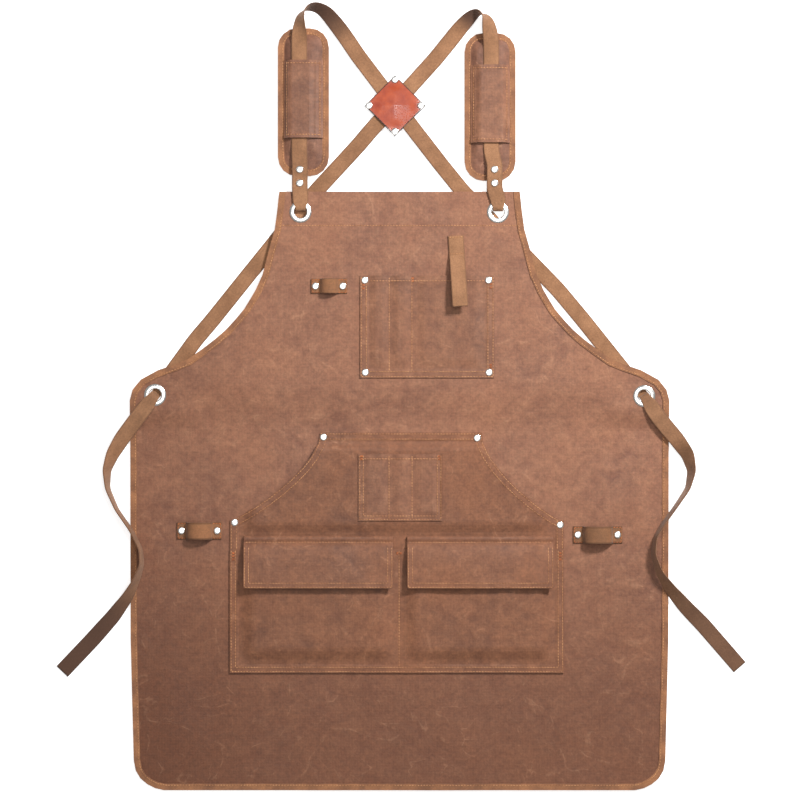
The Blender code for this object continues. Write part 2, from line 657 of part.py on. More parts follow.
SLOPE_STEPS = (0.0, 0.33, 0.66, 1.0)
for side, (pad_x, pad_y, web_x) in PADS.items():
    centre = (pad_x, pad_y)
    pivot = (pad_x, pad_y, pad_sleeve_low + WEBBING / 2)
    sheet = pad_ring(centre, BINDING_WRAP, None)
    slab(f"pad_{side}_base", sheet, [], [], lambda x, y: STEP_UP, lambda x, y: STEP_UP + CANVAS, "canvas",
         origin=pivot)
    cover = [at_height(sheet, PAD_COVER_EDGE)]
    cover += [at_height(pad_ring(centre, 0, share), PAD_COVER_EDGE + PAD_FOAM * smooth(share))
              for share in SLOPE_STEPS]
    over = [[(x, y, z + CANVAS) for x, y, z in ring] for ring in cover]
    loft(f"pad_{side}_cover", cover[::-1] + over, "canvas", origin=pivot)
    foam_floor = STEP_UP + CANVAS + SEAM
    foam = [at_height(pad_ring(centre, 0, SLOPE_STEPS[1]), foam_floor)]
    foam += [at_height(pad_ring(centre, 0, share), PAD_COVER_EDGE + PAD_FOAM * smooth(share) - SEAM)
             for share in SLOPE_STEPS[1:]]
    loft(f"pad_{side}_foam", foam, "foam", origin=pivot)
    tape_top = 3 * STEP_UP
    edge = pad_ring(centre, 0, None)
    inner = pad_ring(centre, BINDING_WRAP + BINDING_WIDTH, None)
    wall = pad_ring(centre, CANVAS, None)
    rings = []
    for out, within, side_in in zip(edge, inner, wall):
        rings.append([(*within, 0), (*out, 0), (*out, tape_top + CANVAS), (*within, tape_top + CANVAS),
                      (*within, tape_top), (*side_in, tape_top), (*side_in, CANVAS), (*within, CANVAS)])
    loft(f"pad_{side}_binding", rings, "binding", closed=True, origin=pivot)

    def sleeve_under(x, y):
        depth = PAD_HALF[0] - abs(x - pad_x)
        rise = 0
        for share, after in zip(SLOPE_STEPS, SLOPE_STEPS[1:]):
            part = (depth - PAD_EDGE) / PAD_SLOPE
            if part > share:
                along = min((part - share) / (after - share), 1)
                rise = smooth(share) + (smooth(after) - smooth(share)) * along
        hump = smooth((18.0 - abs(x - web_x)) / 6.0)
        return PAD_COVER_EDGE + PAD_FOAM * rise + STEP_UP + (WEBBING + SEAM) * hump

    sleeve_x = (pad_x - PAD_HALF[0] + PAD_EDGE + 1.4, pad_x + PAD_HALF[0] - PAD_EDGE - 1.4)
    sleeve_columns = [pad_x + sign * (PAD_HALF[0] - PAD_EDGE - PAD_SLOPE * share)
                      for sign in (-1, 1) for share in SLOPE_STEPS[1:]]
    sleeve_columns += [web_x + sign * reach for sign in (-1, 1) for reach in (12, 14, 16, 18)]
    slab(f"pad_{side}_sleeve", box_outline(sleeve_x, (pad_y + SLEEVE_Y[0], pad_y + SLEEVE_Y[1])), [],
         between(sleeve_columns, *sleeve_x), sleeve_under, lambda x, y: sleeve_under(x, y) + CANVAS,
         "canvas", origin=pivot)

# ---------------------------------------------------------------- straps

LOOP_TOP = eye_high + GROMMET_FLANGE + SEAM + WEBBING / 2
LOOP_BACK = LOOP_TOP - WEBBING - SEAM
LOOP_UNDER = eye_low - SEAM - WEBBING / 2
ON_FLOOR = WEBBING / 2 + 0.02
ON_PAD = pad_sleeve_low + WEBBING / 2
CROSS_LOW = KEEPER_LOW + LEATHER + SEAM + WEBBING / 2
CROSS_HIGH = CROSS_LOW + WEBBING + SEAM
NARROW = 6.4
STRAP_TAIL_Y = BIB_TOP + 36.0
EYE_MIDDLE = (eye_low + eye_high) / 2


def eyelet_turn(x, y, rivet_x):
    """The riveted tail, down behind the bib, up through its grommet and back over the front."""
    tail = [(STRAP_TAIL_Y, LOOP_BACK), (BIB_TOP + 6.2, LOOP_BACK), (BIB_TOP + 1.8, LOOP_UNDER + 0.8)]
    hole = [(y + 7.5, LOOP_UNDER), (y + 3.9, LOOP_UNDER), (y + 2.2, LOOP_UNDER + 1.2),
            (y + 1.4, LOOP_UNDER + 3.2), (y + 1.4, LOOP_TOP - 2.4), (y + 2.4, LOOP_TOP - 0.7),
            (y + 5.4, LOOP_TOP - 0.05), (y + 9.5, LOOP_TOP)]
    stations = [(rivet_x, at, z, 0, 0, WEB_HALF) for at, z in tail]
    stations += [((x + rivet_x) / 2, BIB_TOP - 4.5, LOOP_UNDER, 0, 0, WEB_HALF),
                 (x, y + 16, LOOP_UNDER, 0, 0, WEB_HALF)]
    stations += [(x, at, z, 0, 0, NARROW) for at, z in hole]
    return stations + [(x, y + 18, LOOP_TOP, 0, 0, WEB_HALF), (rivet_x, BIB_TOP + 4, LOOP_TOP, 0, 0, WEB_HALF),
                       (rivet_x, STRAP_TAIL_Y - 2, LOOP_TOP, 0, 0, WEB_HALF)]


STRAPS = {
    "left": [(-127.4, 312.0, ON_PAD, 0, 0, WEB_HALF),
             (-127.4, 450.0, ON_PAD, 0, 0, WEB_HALF), (-127.4, 460.0, 12.4, 0, 14, WEB_HALF),
             (-127.1, 470.0, 14.4, -4, 38, WEB_HALF), (-126.0, 482.0, 16.4, -12, 58, WEB_HALF),
             (-121.5, 490.2, 17.0, -25, 80, WEB_HALF), (-112.8, 494.6, 16.2, 115, 70, WEB_HALF),
             (-103.9, 494.0, 14.6, 92, 55, WEB_HALF), (-93.2, 487.6, 12.4, 60, 36, WEB_HALF),
             (-84.8, 478.0, 10.4, 46, 22, WEB_HALF), (-75.9, 467.0, 8.2, 38, 10, WEB_HALF),
             (-65.7, 453.0, 5.8, 36, 4, WEB_HALF), (-54.0, 435.5, CROSS_LOW, 36, 0, WEB_HALF),
             (18.5, 334.0, CROSS_LOW, 37, 0, WEB_HALF), (29.3, 319.5, CROSS_LOW - 1.2, 39, 0, WEB_HALF),
             (50.4, 291.0, ON_FLOOR, 42, 0, WEB_HALF), (79.7, 263.3, ON_FLOOR, 44, 0, WEB_HALF),
             (202.1, 135.8, ON_FLOOR, 47, 0, WEB_HALF), (234.0, 97.5, ON_FLOOR, 39, 0, WEB_HALF),
             (254.4, 72.0, ON_FLOOR, 39, 0, WEB_HALF)],
    "right": [(116.6, 312.0, ON_PAD, 0, 0, WEB_HALF),
              (116.6, 447.0, ON_PAD, 0, 0, WEB_HALF), (115.6, 457.0, 12.4, 0, -8, WEB_HALF),
              (114.1, 467.3, 14.4, 4, -22, WEB_HALF), (111.0, 479.0, 16.4, 16, -46, WEB_HALF),
              (105.0, 486.8, 17.0, 30, -78, WEB_HALF), (97.6, 487.6, 16.0, -100, -62, WEB_HALF),
              (89.6, 481.3, 13.8, -66, -40, WEB_HALF), (78.0, 469.1, 11.4, -44, -20, WEB_HALF),
              (66.3, 454.5, 9.0, -38, -6, WEB_HALF), (47.0, 431.0, CROSS_HIGH, -35, 0, WEB_HALF),
              (-39.0, 335.5, CROSS_HIGH, -42, 0, WEB_HALF),
              (-50.0, 322.5, CROSS_HIGH - 2.2, -42, 0, WEB_HALF), (-71.0, 300.0, ON_FLOOR, -44, 0, WEB_HALF),
              (-106.0, 262.2, ON_FLOOR, -43, 0, WEB_HALF), (-197.6, 148.5, ON_FLOOR, -38, 0, WEB_HALF),
              (-238.4, 97.5, ON_FLOOR, -39, 0, WEB_HALF), (-260.1, 72.0, ON_FLOOR, -40, 0, WEB_HALF)],
}
strap_rivet_y = (BIB_TOP + 10.6, BIB_TOP + 28.0)
opposite = {"left": "right", "right": "left"}


def spread(x, y, from_y):
    """Sideways place of a strap or tie on a wider skirt, unmoved above from_y."""
    share = min(max((from_y - y) / from_y, 0.0), 1.0) if from_y else 1.0
    return x + math.copysign(WIDER * share, x)


for side, laid in STRAPS.items():
    run = [(spread(x, y, BIB_TOP), y, *rest) for x, y, *rest in laid]
    eye_x, eye_y = TOP_GROMMETS[side]
    web_x = PADS[side][2]
    rivet_x = (eye_x + web_x) / 2
    stations = eyelet_turn(eye_x, eye_y, rivet_x) + run
    end_x, end_y = WAIST_GROMMETS[opposite[side]]
    last = Vector(run[-1][:2])
    end = Vector((end_x, end_y))
    heading = (end - last).normalized()
    bearing = run[-1][3]
    for back, z, half in ((24, ON_FLOOR, WEB_HALF), (12, ON_FLOOR, NARROW), (4.6, ON_FLOOR + 0.3, NARROW),
                          (2.2, ON_FLOOR + 1.8, NARROW), (1.4, 4.4, NARROW), (1.4, EYE_MIDDLE, NARROW)):
        at = end - heading * back
        stations.append((at.x, at.y, z, bearing, 0, half))
    strap = ribbon(f"strap_{side}", stations, WEBBING, "webbing")
    strap_holes = []
    for label, y in zip(("low", "high"), strap_rivet_y):
        strap_holes.append(rivet(f"rivet_strap_{side}_{label}", (rivet_x, y),
                                 LOOP_BACK - WEBBING / 2, LOOP_TOP + WEBBING / 2))
    punch(strap, strap_holes)

# ---------------------------------------------------------------- tie ends

TIE_OVER = LOOP_TOP
TIES = {
    "left": [(-329.6, -22.3, TIE_OVER, 0), (-342.0, -39.0, TIE_OVER, 4), (-353.0, -54.0, 10.4, 16),
             (-364.4, -73.3, 12.2, 40), (-371.5, -93.0, 14.0, 64), (-370.6, -116.7, 14.6, 80),
             (-358.9, -143.4, 14.6, 84), (-340.3, -170.2, 14.6, 84), (-328.3, -194.4, 14.6, 84),
             (-327.0, -213.6, 14.6, 80), (-334.7, -234.6, 14.4, 68), (-346.5, -256.0, 12.6, 48),
             (-364.4, -279.9, 8.4, 24), (-391.3, -309.8, 3.4, 5), (-430.0, -350.5, ON_FLOOR, 0)],
    "right": [(326.9, -23.6, TIE_OVER, 0), (340.0, -40.0, TIE_OVER, -4), (352.0, -54.0, 10.4, -16),
              (366.0, -73.7, 12.2, -40), (371.0, -94.0, 14.0, -64), (366.0, -116.7, 14.6, -80),
              (350.0, -140.3, 14.6, -84), (334.7, -161.3, 14.6, -84), (324.5, -179.1, 14.6, -84),
              (322.0, -200.2, 14.6, -80), (329.6, -223.8, 14.4, -68), (343.5, -244.2, 12.6, -48),
              (364.0, -268.0, 8.4, -24), (386.9, -291.3, 3.4, -5), (433.5, -345.0, ON_FLOOR, 0)],
}
for side, laid in TIES.items():
    run = [(spread(x, y, 0), y, *rest) for x, y, *rest in laid]
    x, y = WAIST_GROMMETS[side]
    heading = (Vector(run[0][:2]) - Vector((x, y))).normalized()
    came = STRAPS[opposite[side]][-1]
    arrive = (Vector((x, y)) - Vector((spread(came[0], came[1], BIB_TOP), came[1]))).normalized()
    start = Vector((x, y)) - arrive * 1.4
    bearing = math.degrees(math.atan2(-heading.x, heading.y))
    stations = [(start.x, start.y, EYE_MIDDLE + SEAM, bearing, 0, NARROW),
                (start.x, start.y, LOOP_TOP - 2.2, bearing, 0, NARROW)]
    for reach, z, half in ((0.2, LOOP_TOP - 0.6, NARROW), (3.4, TIE_OVER, NARROW), (16.0, TIE_OVER, WEB_HALF)):
        at = Vector((x, y)) + heading * reach
        stations.append((at.x, at.y, z, bearing, 0, half))
    stations += [(*place, None, tilt, WEB_HALF) for *place, tilt in run]
    ribbon(f"tie_{side}", stations, WEBBING, "webbing")

# ---------------------------------------------------------------- leather keeper


def diamond(centre, half):
    """Square on its corner with the corners nipped round."""
    points = []
    for quarter in range(4):
        for lean in (-0.12, 0.0, 0.12):
            angle = math.pi / 2 * quarter + lean
            reach = half * (1.0 if lean == 0 else 0.885)
            points.append((centre[0] + reach * math.cos(angle), centre[1] + reach * math.sin(angle)))
    return points


keeper_front_low = CROSS_HIGH + WEBBING / 2 + SEAM
keeper_holes = []
for label, angle in (("right", 0), ("top", 90), ("left", 180), ("bottom", 270)):
    place = (KEEPER[0] + KEEPER_RIVET * math.cos(math.radians(angle)),
             KEEPER[1] + KEEPER_RIVET * math.sin(math.radians(angle)))
    keeper_holes.append(rivet(f"rivet_keeper_{label}", place, KEEPER_LOW, keeper_front_low + LEATHER))
for label, level in (("back", KEEPER_LOW), ("front", keeper_front_low)):
    plate = slab(f"keeper_{label}", diamond(KEEPER, KEEPER_HALF), [], [],
                 lambda x, y: level, lambda x, y: level + LEATHER, "leather",
                 origin=(*KEEPER, KEEPER_LOW))
    punch(plate, keeper_holes)

# ---------------------------------------------------------------- rivets

for name, place, under, front in RIVETS:
    top = front + SEAM + RIVET_DOME
    bottom = under - SEAM - 0.8
    profile = [(0, top), (RIVET_CAP * 0.62, top - 0.35), (RIVET_CAP, top - 1.1), (RIVET_CAP, top - RIVET_DOME),
               (RIVET_POST, top - RIVET_DOME), (RIVET_POST, bottom + 0.8), (RIVET_BACK, bottom + 0.8),
               (RIVET_BACK, bottom), (0, bottom)]
    turned(name, profile, RIVET_SIDES, place, "nickel")
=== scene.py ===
"""Looks of a waxed canvas butcher and shop apron, laid flat on a pale floor with its front up."""

import math

import bmesh
import bpy
from mathutils import Matrix, Vector, noise
from mathutils.bvhtree import BVHTree


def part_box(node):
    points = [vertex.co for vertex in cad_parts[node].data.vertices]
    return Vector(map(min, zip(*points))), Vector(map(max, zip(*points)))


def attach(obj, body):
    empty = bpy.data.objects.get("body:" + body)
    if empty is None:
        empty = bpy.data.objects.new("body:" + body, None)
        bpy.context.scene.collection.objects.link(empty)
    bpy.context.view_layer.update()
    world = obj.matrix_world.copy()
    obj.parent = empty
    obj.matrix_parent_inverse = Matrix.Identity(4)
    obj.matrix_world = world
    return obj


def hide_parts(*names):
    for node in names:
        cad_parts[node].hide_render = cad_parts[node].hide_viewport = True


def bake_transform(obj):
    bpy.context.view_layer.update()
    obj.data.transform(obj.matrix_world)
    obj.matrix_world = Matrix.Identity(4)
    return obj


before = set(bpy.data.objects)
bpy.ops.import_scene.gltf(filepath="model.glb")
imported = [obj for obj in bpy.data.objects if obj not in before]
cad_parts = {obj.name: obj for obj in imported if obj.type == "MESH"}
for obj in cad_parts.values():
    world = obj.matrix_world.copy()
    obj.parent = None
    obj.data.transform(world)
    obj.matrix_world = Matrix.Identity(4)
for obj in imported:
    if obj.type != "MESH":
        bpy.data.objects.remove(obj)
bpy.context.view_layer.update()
MM = 0.001

# ---------------------------------------------------------------- floor, light and camera
# The apron lies on a white light table, so hardly a shadow falls on the table itself. The key is a
# soft box high on the right towards the bib, a broad pale card overhead whitens the metalwork, and
# a small spot is set where the keeper's oiled leather mirrors it.

bpy.ops.object.select_all(action="DESELECT")
# The table's top is a hair below the apron, so that the two faces never share a plane
TABLE_WIDTH = 7
TABLE_DROP = 0.0004
bpy.ops.mesh.primitive_plane_add(size=TABLE_WIDTH, location=(0, 0, -TABLE_DROP))
table_top = bpy.context.object
table_top.name = "studio_table"
bpy.ops.object.transform_apply(location=True)
table_white = bpy.data.materials.new("white_studio_paper")
table_white.use_nodes = True
table_shader = table_white.node_tree.nodes["Principled BSDF"]
table_shader.inputs["Base Color"].default_value = (0.8, 0.8, 0.8, 1)
table_shader.inputs["Roughness"].default_value = 0.9
table_shader.inputs["Specular IOR Level"].default_value = 0.1
table_shader.inputs["Emission Color"].default_value = (1, 1, 1, 1)
table_shader.inputs["Emission Strength"].default_value = 0.62
table_top.data.materials.append(table_white)

room = bpy.data.worlds.new("studio_room")
room.use_nodes = True
room.node_tree.nodes["Background"].inputs["Color"].default_value = (1.0, 0.99, 0.975, 1)
room.node_tree.nodes["Background"].inputs["Strength"].default_value = 0.30
bpy.context.scene.world = room

# Each lamp's place, what it is aimed at, width and power
LAMPS = {"key_soft_box": ((1.15, 1.3, 1.75), (0.0, 0.0, 0.0), 0.42, 70.0),
         "overhead_card": ((0.0, 0.0, 3.7), (0.0, 0.0, 0.0), 2.6, 34.0),
         "keeper_spot": ((0.03, 0.555, 1.8), (0.0, 0.37, 0.0), 0.05, 3.0)}
for lamp_name, (place, aim, size, power) in LAMPS.items():
    lamp = bpy.data.lights.new(lamp_name, "AREA")
    lamp.shape = "DISK"
    lamp.size = size
    lamp.energy = power
    holder = bpy.data.objects.new(lamp_name, lamp)
    holder.location = place
    holder.rotation_euler = (Vector(aim) - Vector(place)).to_track_quat("-Z", "Y").to_euler()
    bpy.context.scene.collection.objects.link(holder)

CAMERA_HEIGHT = 3.0
VIEW_WIDTH = 1.02
SENSOR_WIDTH = 36.0
lens = bpy.data.cameras.new("overhead_camera")
lens.sensor_width = SENSOR_WIDTH
lens.lens = SENSOR_WIDTH * CAMERA_HEIGHT / VIEW_WIDTH
camera = bpy.data.objects.new("overhead_camera", lens)
camera.location = (0.0006, -0.0045, CAMERA_HEIGHT)
bpy.context.scene.collection.objects.link(camera)
bpy.context.scene.camera = camera
bpy.context.scene.view_settings.view_transform = "Standard"

# ---------------------------------------------------------------- waist ties
# Flat cotton webbing, 20 mm wide and 1.6 mm thick, left loose at the ends of the shoulder straps.
# Each comes up through its waist grommet, stands on edge where it curls, and is cut off square.

WEBBING = 1.6 * MM
WEB_HALF = 10 * MM
# In millimetres, as the routes are: half the webbing's width where it lies flat and where an eye
# gathers it, and the height of its middle where it lies on the table and over the cloth
FLAT, GATHERED = 10.0, 6.4
ON_TABLE, OVER_CLOTH = 0.82, 9.8


def colour(hex_value):
    """Linear red, green, blue and alpha of an sRGB hex value."""
    channels = [int(hex_value[i:i + 2], 16) / 255 for i in (0, 2, 4)]
    return (*[c / 12.92 if c < 0.04045 else ((c + 0.055) / 1.055) ** 2.4 for c in channels], 1)


def add_node(tree, kind, sockets=(), **settings):
    """Adds a node, sets its own settings, and gives each socket a value or a link."""
    node = tree.nodes.new("ShaderNode" + kind)
    for name, value in settings.items():
        setattr(node, name, value)
    for socket, value in dict(sockets).items():
        if isinstance(value, bpy.types.NodeSocket):
            tree.links.new(value, node.inputs[socket])
        else:
            node.inputs[socket].default_value = value
    return node


def new_material(name, roughness, metallic=0.0):
    """A material with its node tree and its shader, whose own settings are even all over."""
    material = bpy.data.materials.new(name)
    material.use_nodes = True
    shader = material.node_tree.nodes["Principled BSDF"]
    shader.inputs["Roughness"].default_value = roughness
    shader.inputs["Metallic"].default_value = metallic
    return material, material.node_tree, shader


def webbing_cloth(name, face_hex, shade_hex, edge_hex, darkened_hex):
    """Cotton webbing: matt, ribbed across, with a tighter darker selvedge down each side.

    The map on the strip is in metres. Real picks are 0.7 mm apart and are drawn 2.2 mm apart to show.
    """
    material, tree, shader = new_material(name, 0.82)
    strip = add_node(tree, "UVMap", uv_map="along_strip")
    place = add_node(tree, "TexCoord")
    parts = add_node(tree, "SeparateXYZ", {0: strip.outputs[0]})
    picks = add_node(tree, "Math", {0: parts.outputs[0], 1: 2 * math.pi / 0.0022}, operation="MULTIPLY")
    picks_wave = add_node(tree, "Math", {0: picks.outputs[0]}, operation="SINE")
    ends = add_node(tree, "Math", {0: parts.outputs[1], 1: 2 * math.pi / 0.0026}, operation="MULTIPLY")
    ends_wave = add_node(tree, "Math", {0: ends.outputs[0]}, operation="SINE")
    weave = add_node(tree, "Math", {0: picks_wave.outputs[0], 1: ends_wave.outputs[0]},
                     operation="MULTIPLY")
    handled = add_node(tree, "TexNoise", {"Vector": place.outputs["Object"], "Scale": 34.0,
                                          "Detail": 4.0, "Roughness": 0.6})
    fibres = add_node(tree, "TexNoise", {"Vector": place.outputs["Object"], "Scale": 520.0,
                                         "Detail": 2.0})
    worn = add_node(tree, "MapRange", {"Value": handled.outputs["Fac"], "From Min": 0.36,
                                       "From Max": 0.66})
    base = add_node(tree, "Mix", {0: worn.outputs[0], 6: colour(shade_hex), 7: colour(face_hex)},
                    data_type="RGBA")
    speck = add_node(tree, "MapRange", {"Value": fibres.outputs["Fac"], "From Min": 0.3, "From Max": 0.7,
                                        "To Min": 0.84, "To Max": 1.14})
    rib = add_node(tree, "MapRange", {"Value": weave.outputs[0], "From Min": -1.0, "From Max": 1.0,
                                      "To Min": 0.93, "To Max": 1.05})
    tone = add_node(tree, "Math", {0: speck.outputs[0], 1: rib.outputs[0]}, operation="MULTIPLY")
    toned = add_node(tree, "VectorMath", {0: base.outputs[2], "Scale": tone.outputs[0]}, operation="SCALE")
    off_middle = add_node(tree, "Math", {0: parts.outputs[1]}, operation="ABSOLUTE")
    selvedge = add_node(tree, "MapRange", {"Value": off_middle.outputs[0], "From Min": 0.0081,
                                           "From Max": 0.0094, "To Max": 0.75})
    edged = add_node(tree, "Mix", {0: selvedge.outputs[0], 6: toned.outputs[0], 7: colour(edge_hex)},
                     data_type="RGBA")
    # Darkened by a value on each point: painted shade where a strap curls, and the darker ends of the ties
    darkening = add_node(tree, "Attribute", attribute_name="darkening")
    darkened_mix = add_node(tree, "Mix", {0: darkening.outputs["Fac"], 6: edged.outputs[2], 7: colour(darkened_hex)},
                     data_type="RGBA")
    tree.links.new(darkened_mix.outputs[2], shader.inputs["Base Color"])
    bump = add_node(tree, "Bump", {"Height": weave.outputs[0], "Strength": 0.35, "Distance": 0.00022})
    soft = add_node(tree, "Bump", {"Height": fibres.outputs["Fac"], "Strength": 0.3, "Distance": 0.0003,
                                   "Normal": bump.outputs[0]})
    tree.links.new(soft.outputs[0], shader.inputs["Normal"])
    shader.inputs["Sheen Weight"].default_value = 0.12
    shader.inputs["Sheen Roughness"].default_value = 0.5
    return material


WEBBING_CLOTH = webbing_cloth("cotton_webbing", "9C6F4D", "855C3D", "6F4A2F", "4A3023")
# Half of a rounded flat section: share of the half width, share of the half thickness
STRIP_SECTION = [(-1.0, 0.0), (-0.985, 0.55), (-0.94, 0.9), (-0.86, 1.0), (-0.5, 1.0), (0.0, 1.0),
                 (0.5, 1.0), (0.86, 1.0), (0.94, 0.9), (0.985, 0.55)]


def eased(stations, step, rounds):
    """Stations of place, width direction and half width, cut to a step and rounded at their turns."""
    cut = [stations[0]]
    for before, after in zip(stations, stations[1:]):
        pieces = max(1, round((after[0] - before[0]).length / step))
        for i in range(1, pieces + 1):
            share = i / pieces
            cut.append((before[0].lerp(after[0], share), before[1].lerp(after[1], share),
                        before[2] + (after[2] - before[2]) * share))
    for _ in range(rounds):
        inner = [((a[0] + 2 * b[0] + c[0]) / 4, (a[1] + 2 * b[1] + c[1]) / 4, (a[2] + 2 * b[2] + c[2]) / 4)
                 for a, b, c in zip(cut, cut[1:], cut[2:])]
        cut = [cut[0], *inner, cut[-1]]
    return cut


def set_out(name, mesh, material):
    """Puts a finished mesh into the scene as a piece of one material."""
    mesh.materials.append(material)
    piece = bpy.data.objects.new(name, mesh)
    bpy.context.scene.collection.objects.link(piece)
    return piece


def fitted(piece, body, slot, *nodes):
    """Rides a piece on its body, in place of the plain solids that it is the finished form of."""
    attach(piece, body)
    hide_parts(*nodes)


def middle_of(node):
    """The middle of a plain solid seen from above."""
    low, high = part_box(node)
    return (low[0] + high[0]) / 2, (low[1] + high[1]) / 2


def laid_strip(name, stations, thickness, material, darkening=None):
    """A strip of webbing through eased stations, with its own map in metres along and across it.

    The function given last says how far the webbing is darkened at a place, from 0 to 1: painted shade where
    a strap curls, and darker tie ends.
    """
    bm = bmesh.new()
    darkening_layer = bm.verts.layers.float.new("darkening")
    layer = bm.loops.layers.uv.new("along_strip")
    section = STRIP_SECTION + [(-across, -up) for across, up in STRIP_SECTION]
    rings, run = [], 0.0
    for i, (centre, across, half) in enumerate(stations):
        ahead = (stations[min(i + 1, len(stations) - 1)][0] - stations[max(i - 1, 0)][0]).normalized()
        side = (across - ahead * across.dot(ahead)).normalized()
        up = side.cross(ahead).normalized()
        run += (centre - stations[max(i - 1, 0)][0]).length
        ring = [bm.verts.new(centre + side * half * s + up * thickness / 2 * t) for s, t in section]
        for vert in ring:
            vert[darkening_layer] = darkening(centre) if darkening else 0.0
        rings.append((ring, run, half))
    for (ring, start, half), (after, end, half_after) in zip(rings, rings[1:]):
        for j in range(len(section)):
            k = (j + 1) % len(section)
            face = bm.faces.new((ring[j], after[j], after[k], ring[k]))
            face.smooth = True
            marks = ((start, section[j][0] * half), (end, section[j][0] * half_after),
                     (end, section[k][0] * half_after), (start, section[k][0] * half))
            for loop, mark in zip(face.loops, marks):
                loop[layer].uv = mark
    bm.faces.new(rings[0][0])
    bm.faces.new(rings[-1][0][::-1])
    bmesh.ops.recalc_face_normals(bm, faces=bm.faces[:])
    mesh = bpy.data.meshes.new(name)
    bm.to_mesh(mesh)
    bm.free()
    return set_out(name, mesh, material)


def between(value, start, end):
    """0 before start, 1 past end, and an even change from one to the other."""
    share = min(max((value - start) / (end - start), 0.0), 1.0)
    return share * share * (3 - 2 * share)


def turned_stations(run):
    """Stations from x, y, z, bearing or None, tilt and half width in millimetres and degrees."""
    places = [Vector(r[:3]) * MM for r in run]
    made = []
    for i, (x, y, z, bearing, tilt, half) in enumerate(run):
        ahead = (places[min(i + 1, len(run) - 1)] - places[max(i - 1, 0)]).normalized()
        level = Vector((ahead.y, -ahead.x, 0)).normalized()
        if bearing is not None:
            level = Vector((math.cos(math.radians(bearing)), math.sin(math.radians(bearing)), 0))
        t = math.radians(tilt)
        made.append((places[i], level * math.cos(t) + Vector((0, 0, math.sin(t))), half * MM))
    return made


waist_eyes = {side: middle_of(f"grommet_waist_{side}") for side in ("left", "right")}
# The route of each tie past its grommet: x, y, z and tilt of the width in millimetres and degrees
TIE_ROUTES = {
    "left": [(-329.6, -22.3, 9.8, 0), (-342, -39, 9.8, 4), (-353, -54, 10.4, 16),
             (-364.4, -73.3, 12.2, 40), (-371.5, -93, 14, 64), (-370.6, -116.7, 14.6, 80),
             (-358.9, -143.4, 14.6, 84), (-340.3, -170.2, 14.6, 84), (-328.3, -194.4, 14.6, 84),
             (-327, -213.6, 14.6, 80), (-334.7, -234.6, 14.4, 68), (-346.5, -256, 12.6, 48),
             (-364.4, -279.9, 8.4, 24), (-391.3, -309.8, 3.4, 5), (-430, -350.5, 0.82, 0)],
    "right": [(326.9, -23.6, 9.8, 0), (340, -40, 9.8, -4), (352, -54, 10.4, -16),
              (366, -73.7, 12.2, -40), (371, -94, 14, -64), (366, -116.7, 14.6, -80),
              (350, -140.3, 14.6, -84), (334.7, -161.3, 14.6, -84), (324.5, -179.1, 14.6, -84),
              (322, -200.2, 14.6, -80), (329.6, -223.8, 14.4, -68), (343.5, -244.2, 12.6, -48),
              (364, -268, 8.4, -24), (386.9, -291.3, 3.4, -5), (433.5, -345, 0.82, 0)],
}
# Where the strap behind comes to each waist grommet from
STRAP_COMES_FROM = {"left": (-260.1, 72.0), "right": (254.4, 72.0)}
# Each tie is a little darker all along and much darker towards its end, the left one most
TIE_END_DARKENING = {"left": 0.74, "right": 0.5}

for side, route in TIE_ROUTES.items():
    eye = Vector(waist_eyes[side]) / MM
    heading = (Vector(route[0][:2]) - eye).normalized()
    arrive = (eye - Vector(STRAP_COMES_FROM[side])).normalized()
    start = eye - arrive * 1.4
    bearing = math.degrees(math.atan2(-heading.x, heading.y))
    run = [(start.x, start.y, z, bearing, 0, GATHERED) for z in (5.95, 7.6)]
    for reach, z, half in ((0.2, 9.2, GATHERED), (3.4, OVER_CLOTH, GATHERED), (16.0, OVER_CLOTH, FLAT)):
        at = eye + heading * reach
        run.append((at.x, at.y, z, bearing, 0, half))
    run += [(*place, None, tilt, FLAT) for *place, tilt in route]
    stations = eased(turned_stations(run), 2.5 * MM, 4)
    tie = laid_strip(f"waist_tie_{side}", stations, WEBBING, WEBBING_CLOTH,
                     lambda at: 0.16 + TIE_END_DARKENING[side] * between(-at.y, 0.22, 0.29))
    fitted(tie, "apron", "webbing", f"tie_{side}")

# ---------------------------------------------------------------- shoulder straps
# The same webbing. Each strap is riveted into a loop at its top grommet, runs through the sleeve of
# its shoulder pad, curls over on edge, crosses the other under the keeper and goes behind the bib.

bib_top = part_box("bib_facing")[1][1]
STRAP_BACK = webbing_cloth("cotton_webbing_inner_face", "8F5F3C", "775033", "5E3C23", "4A3023")
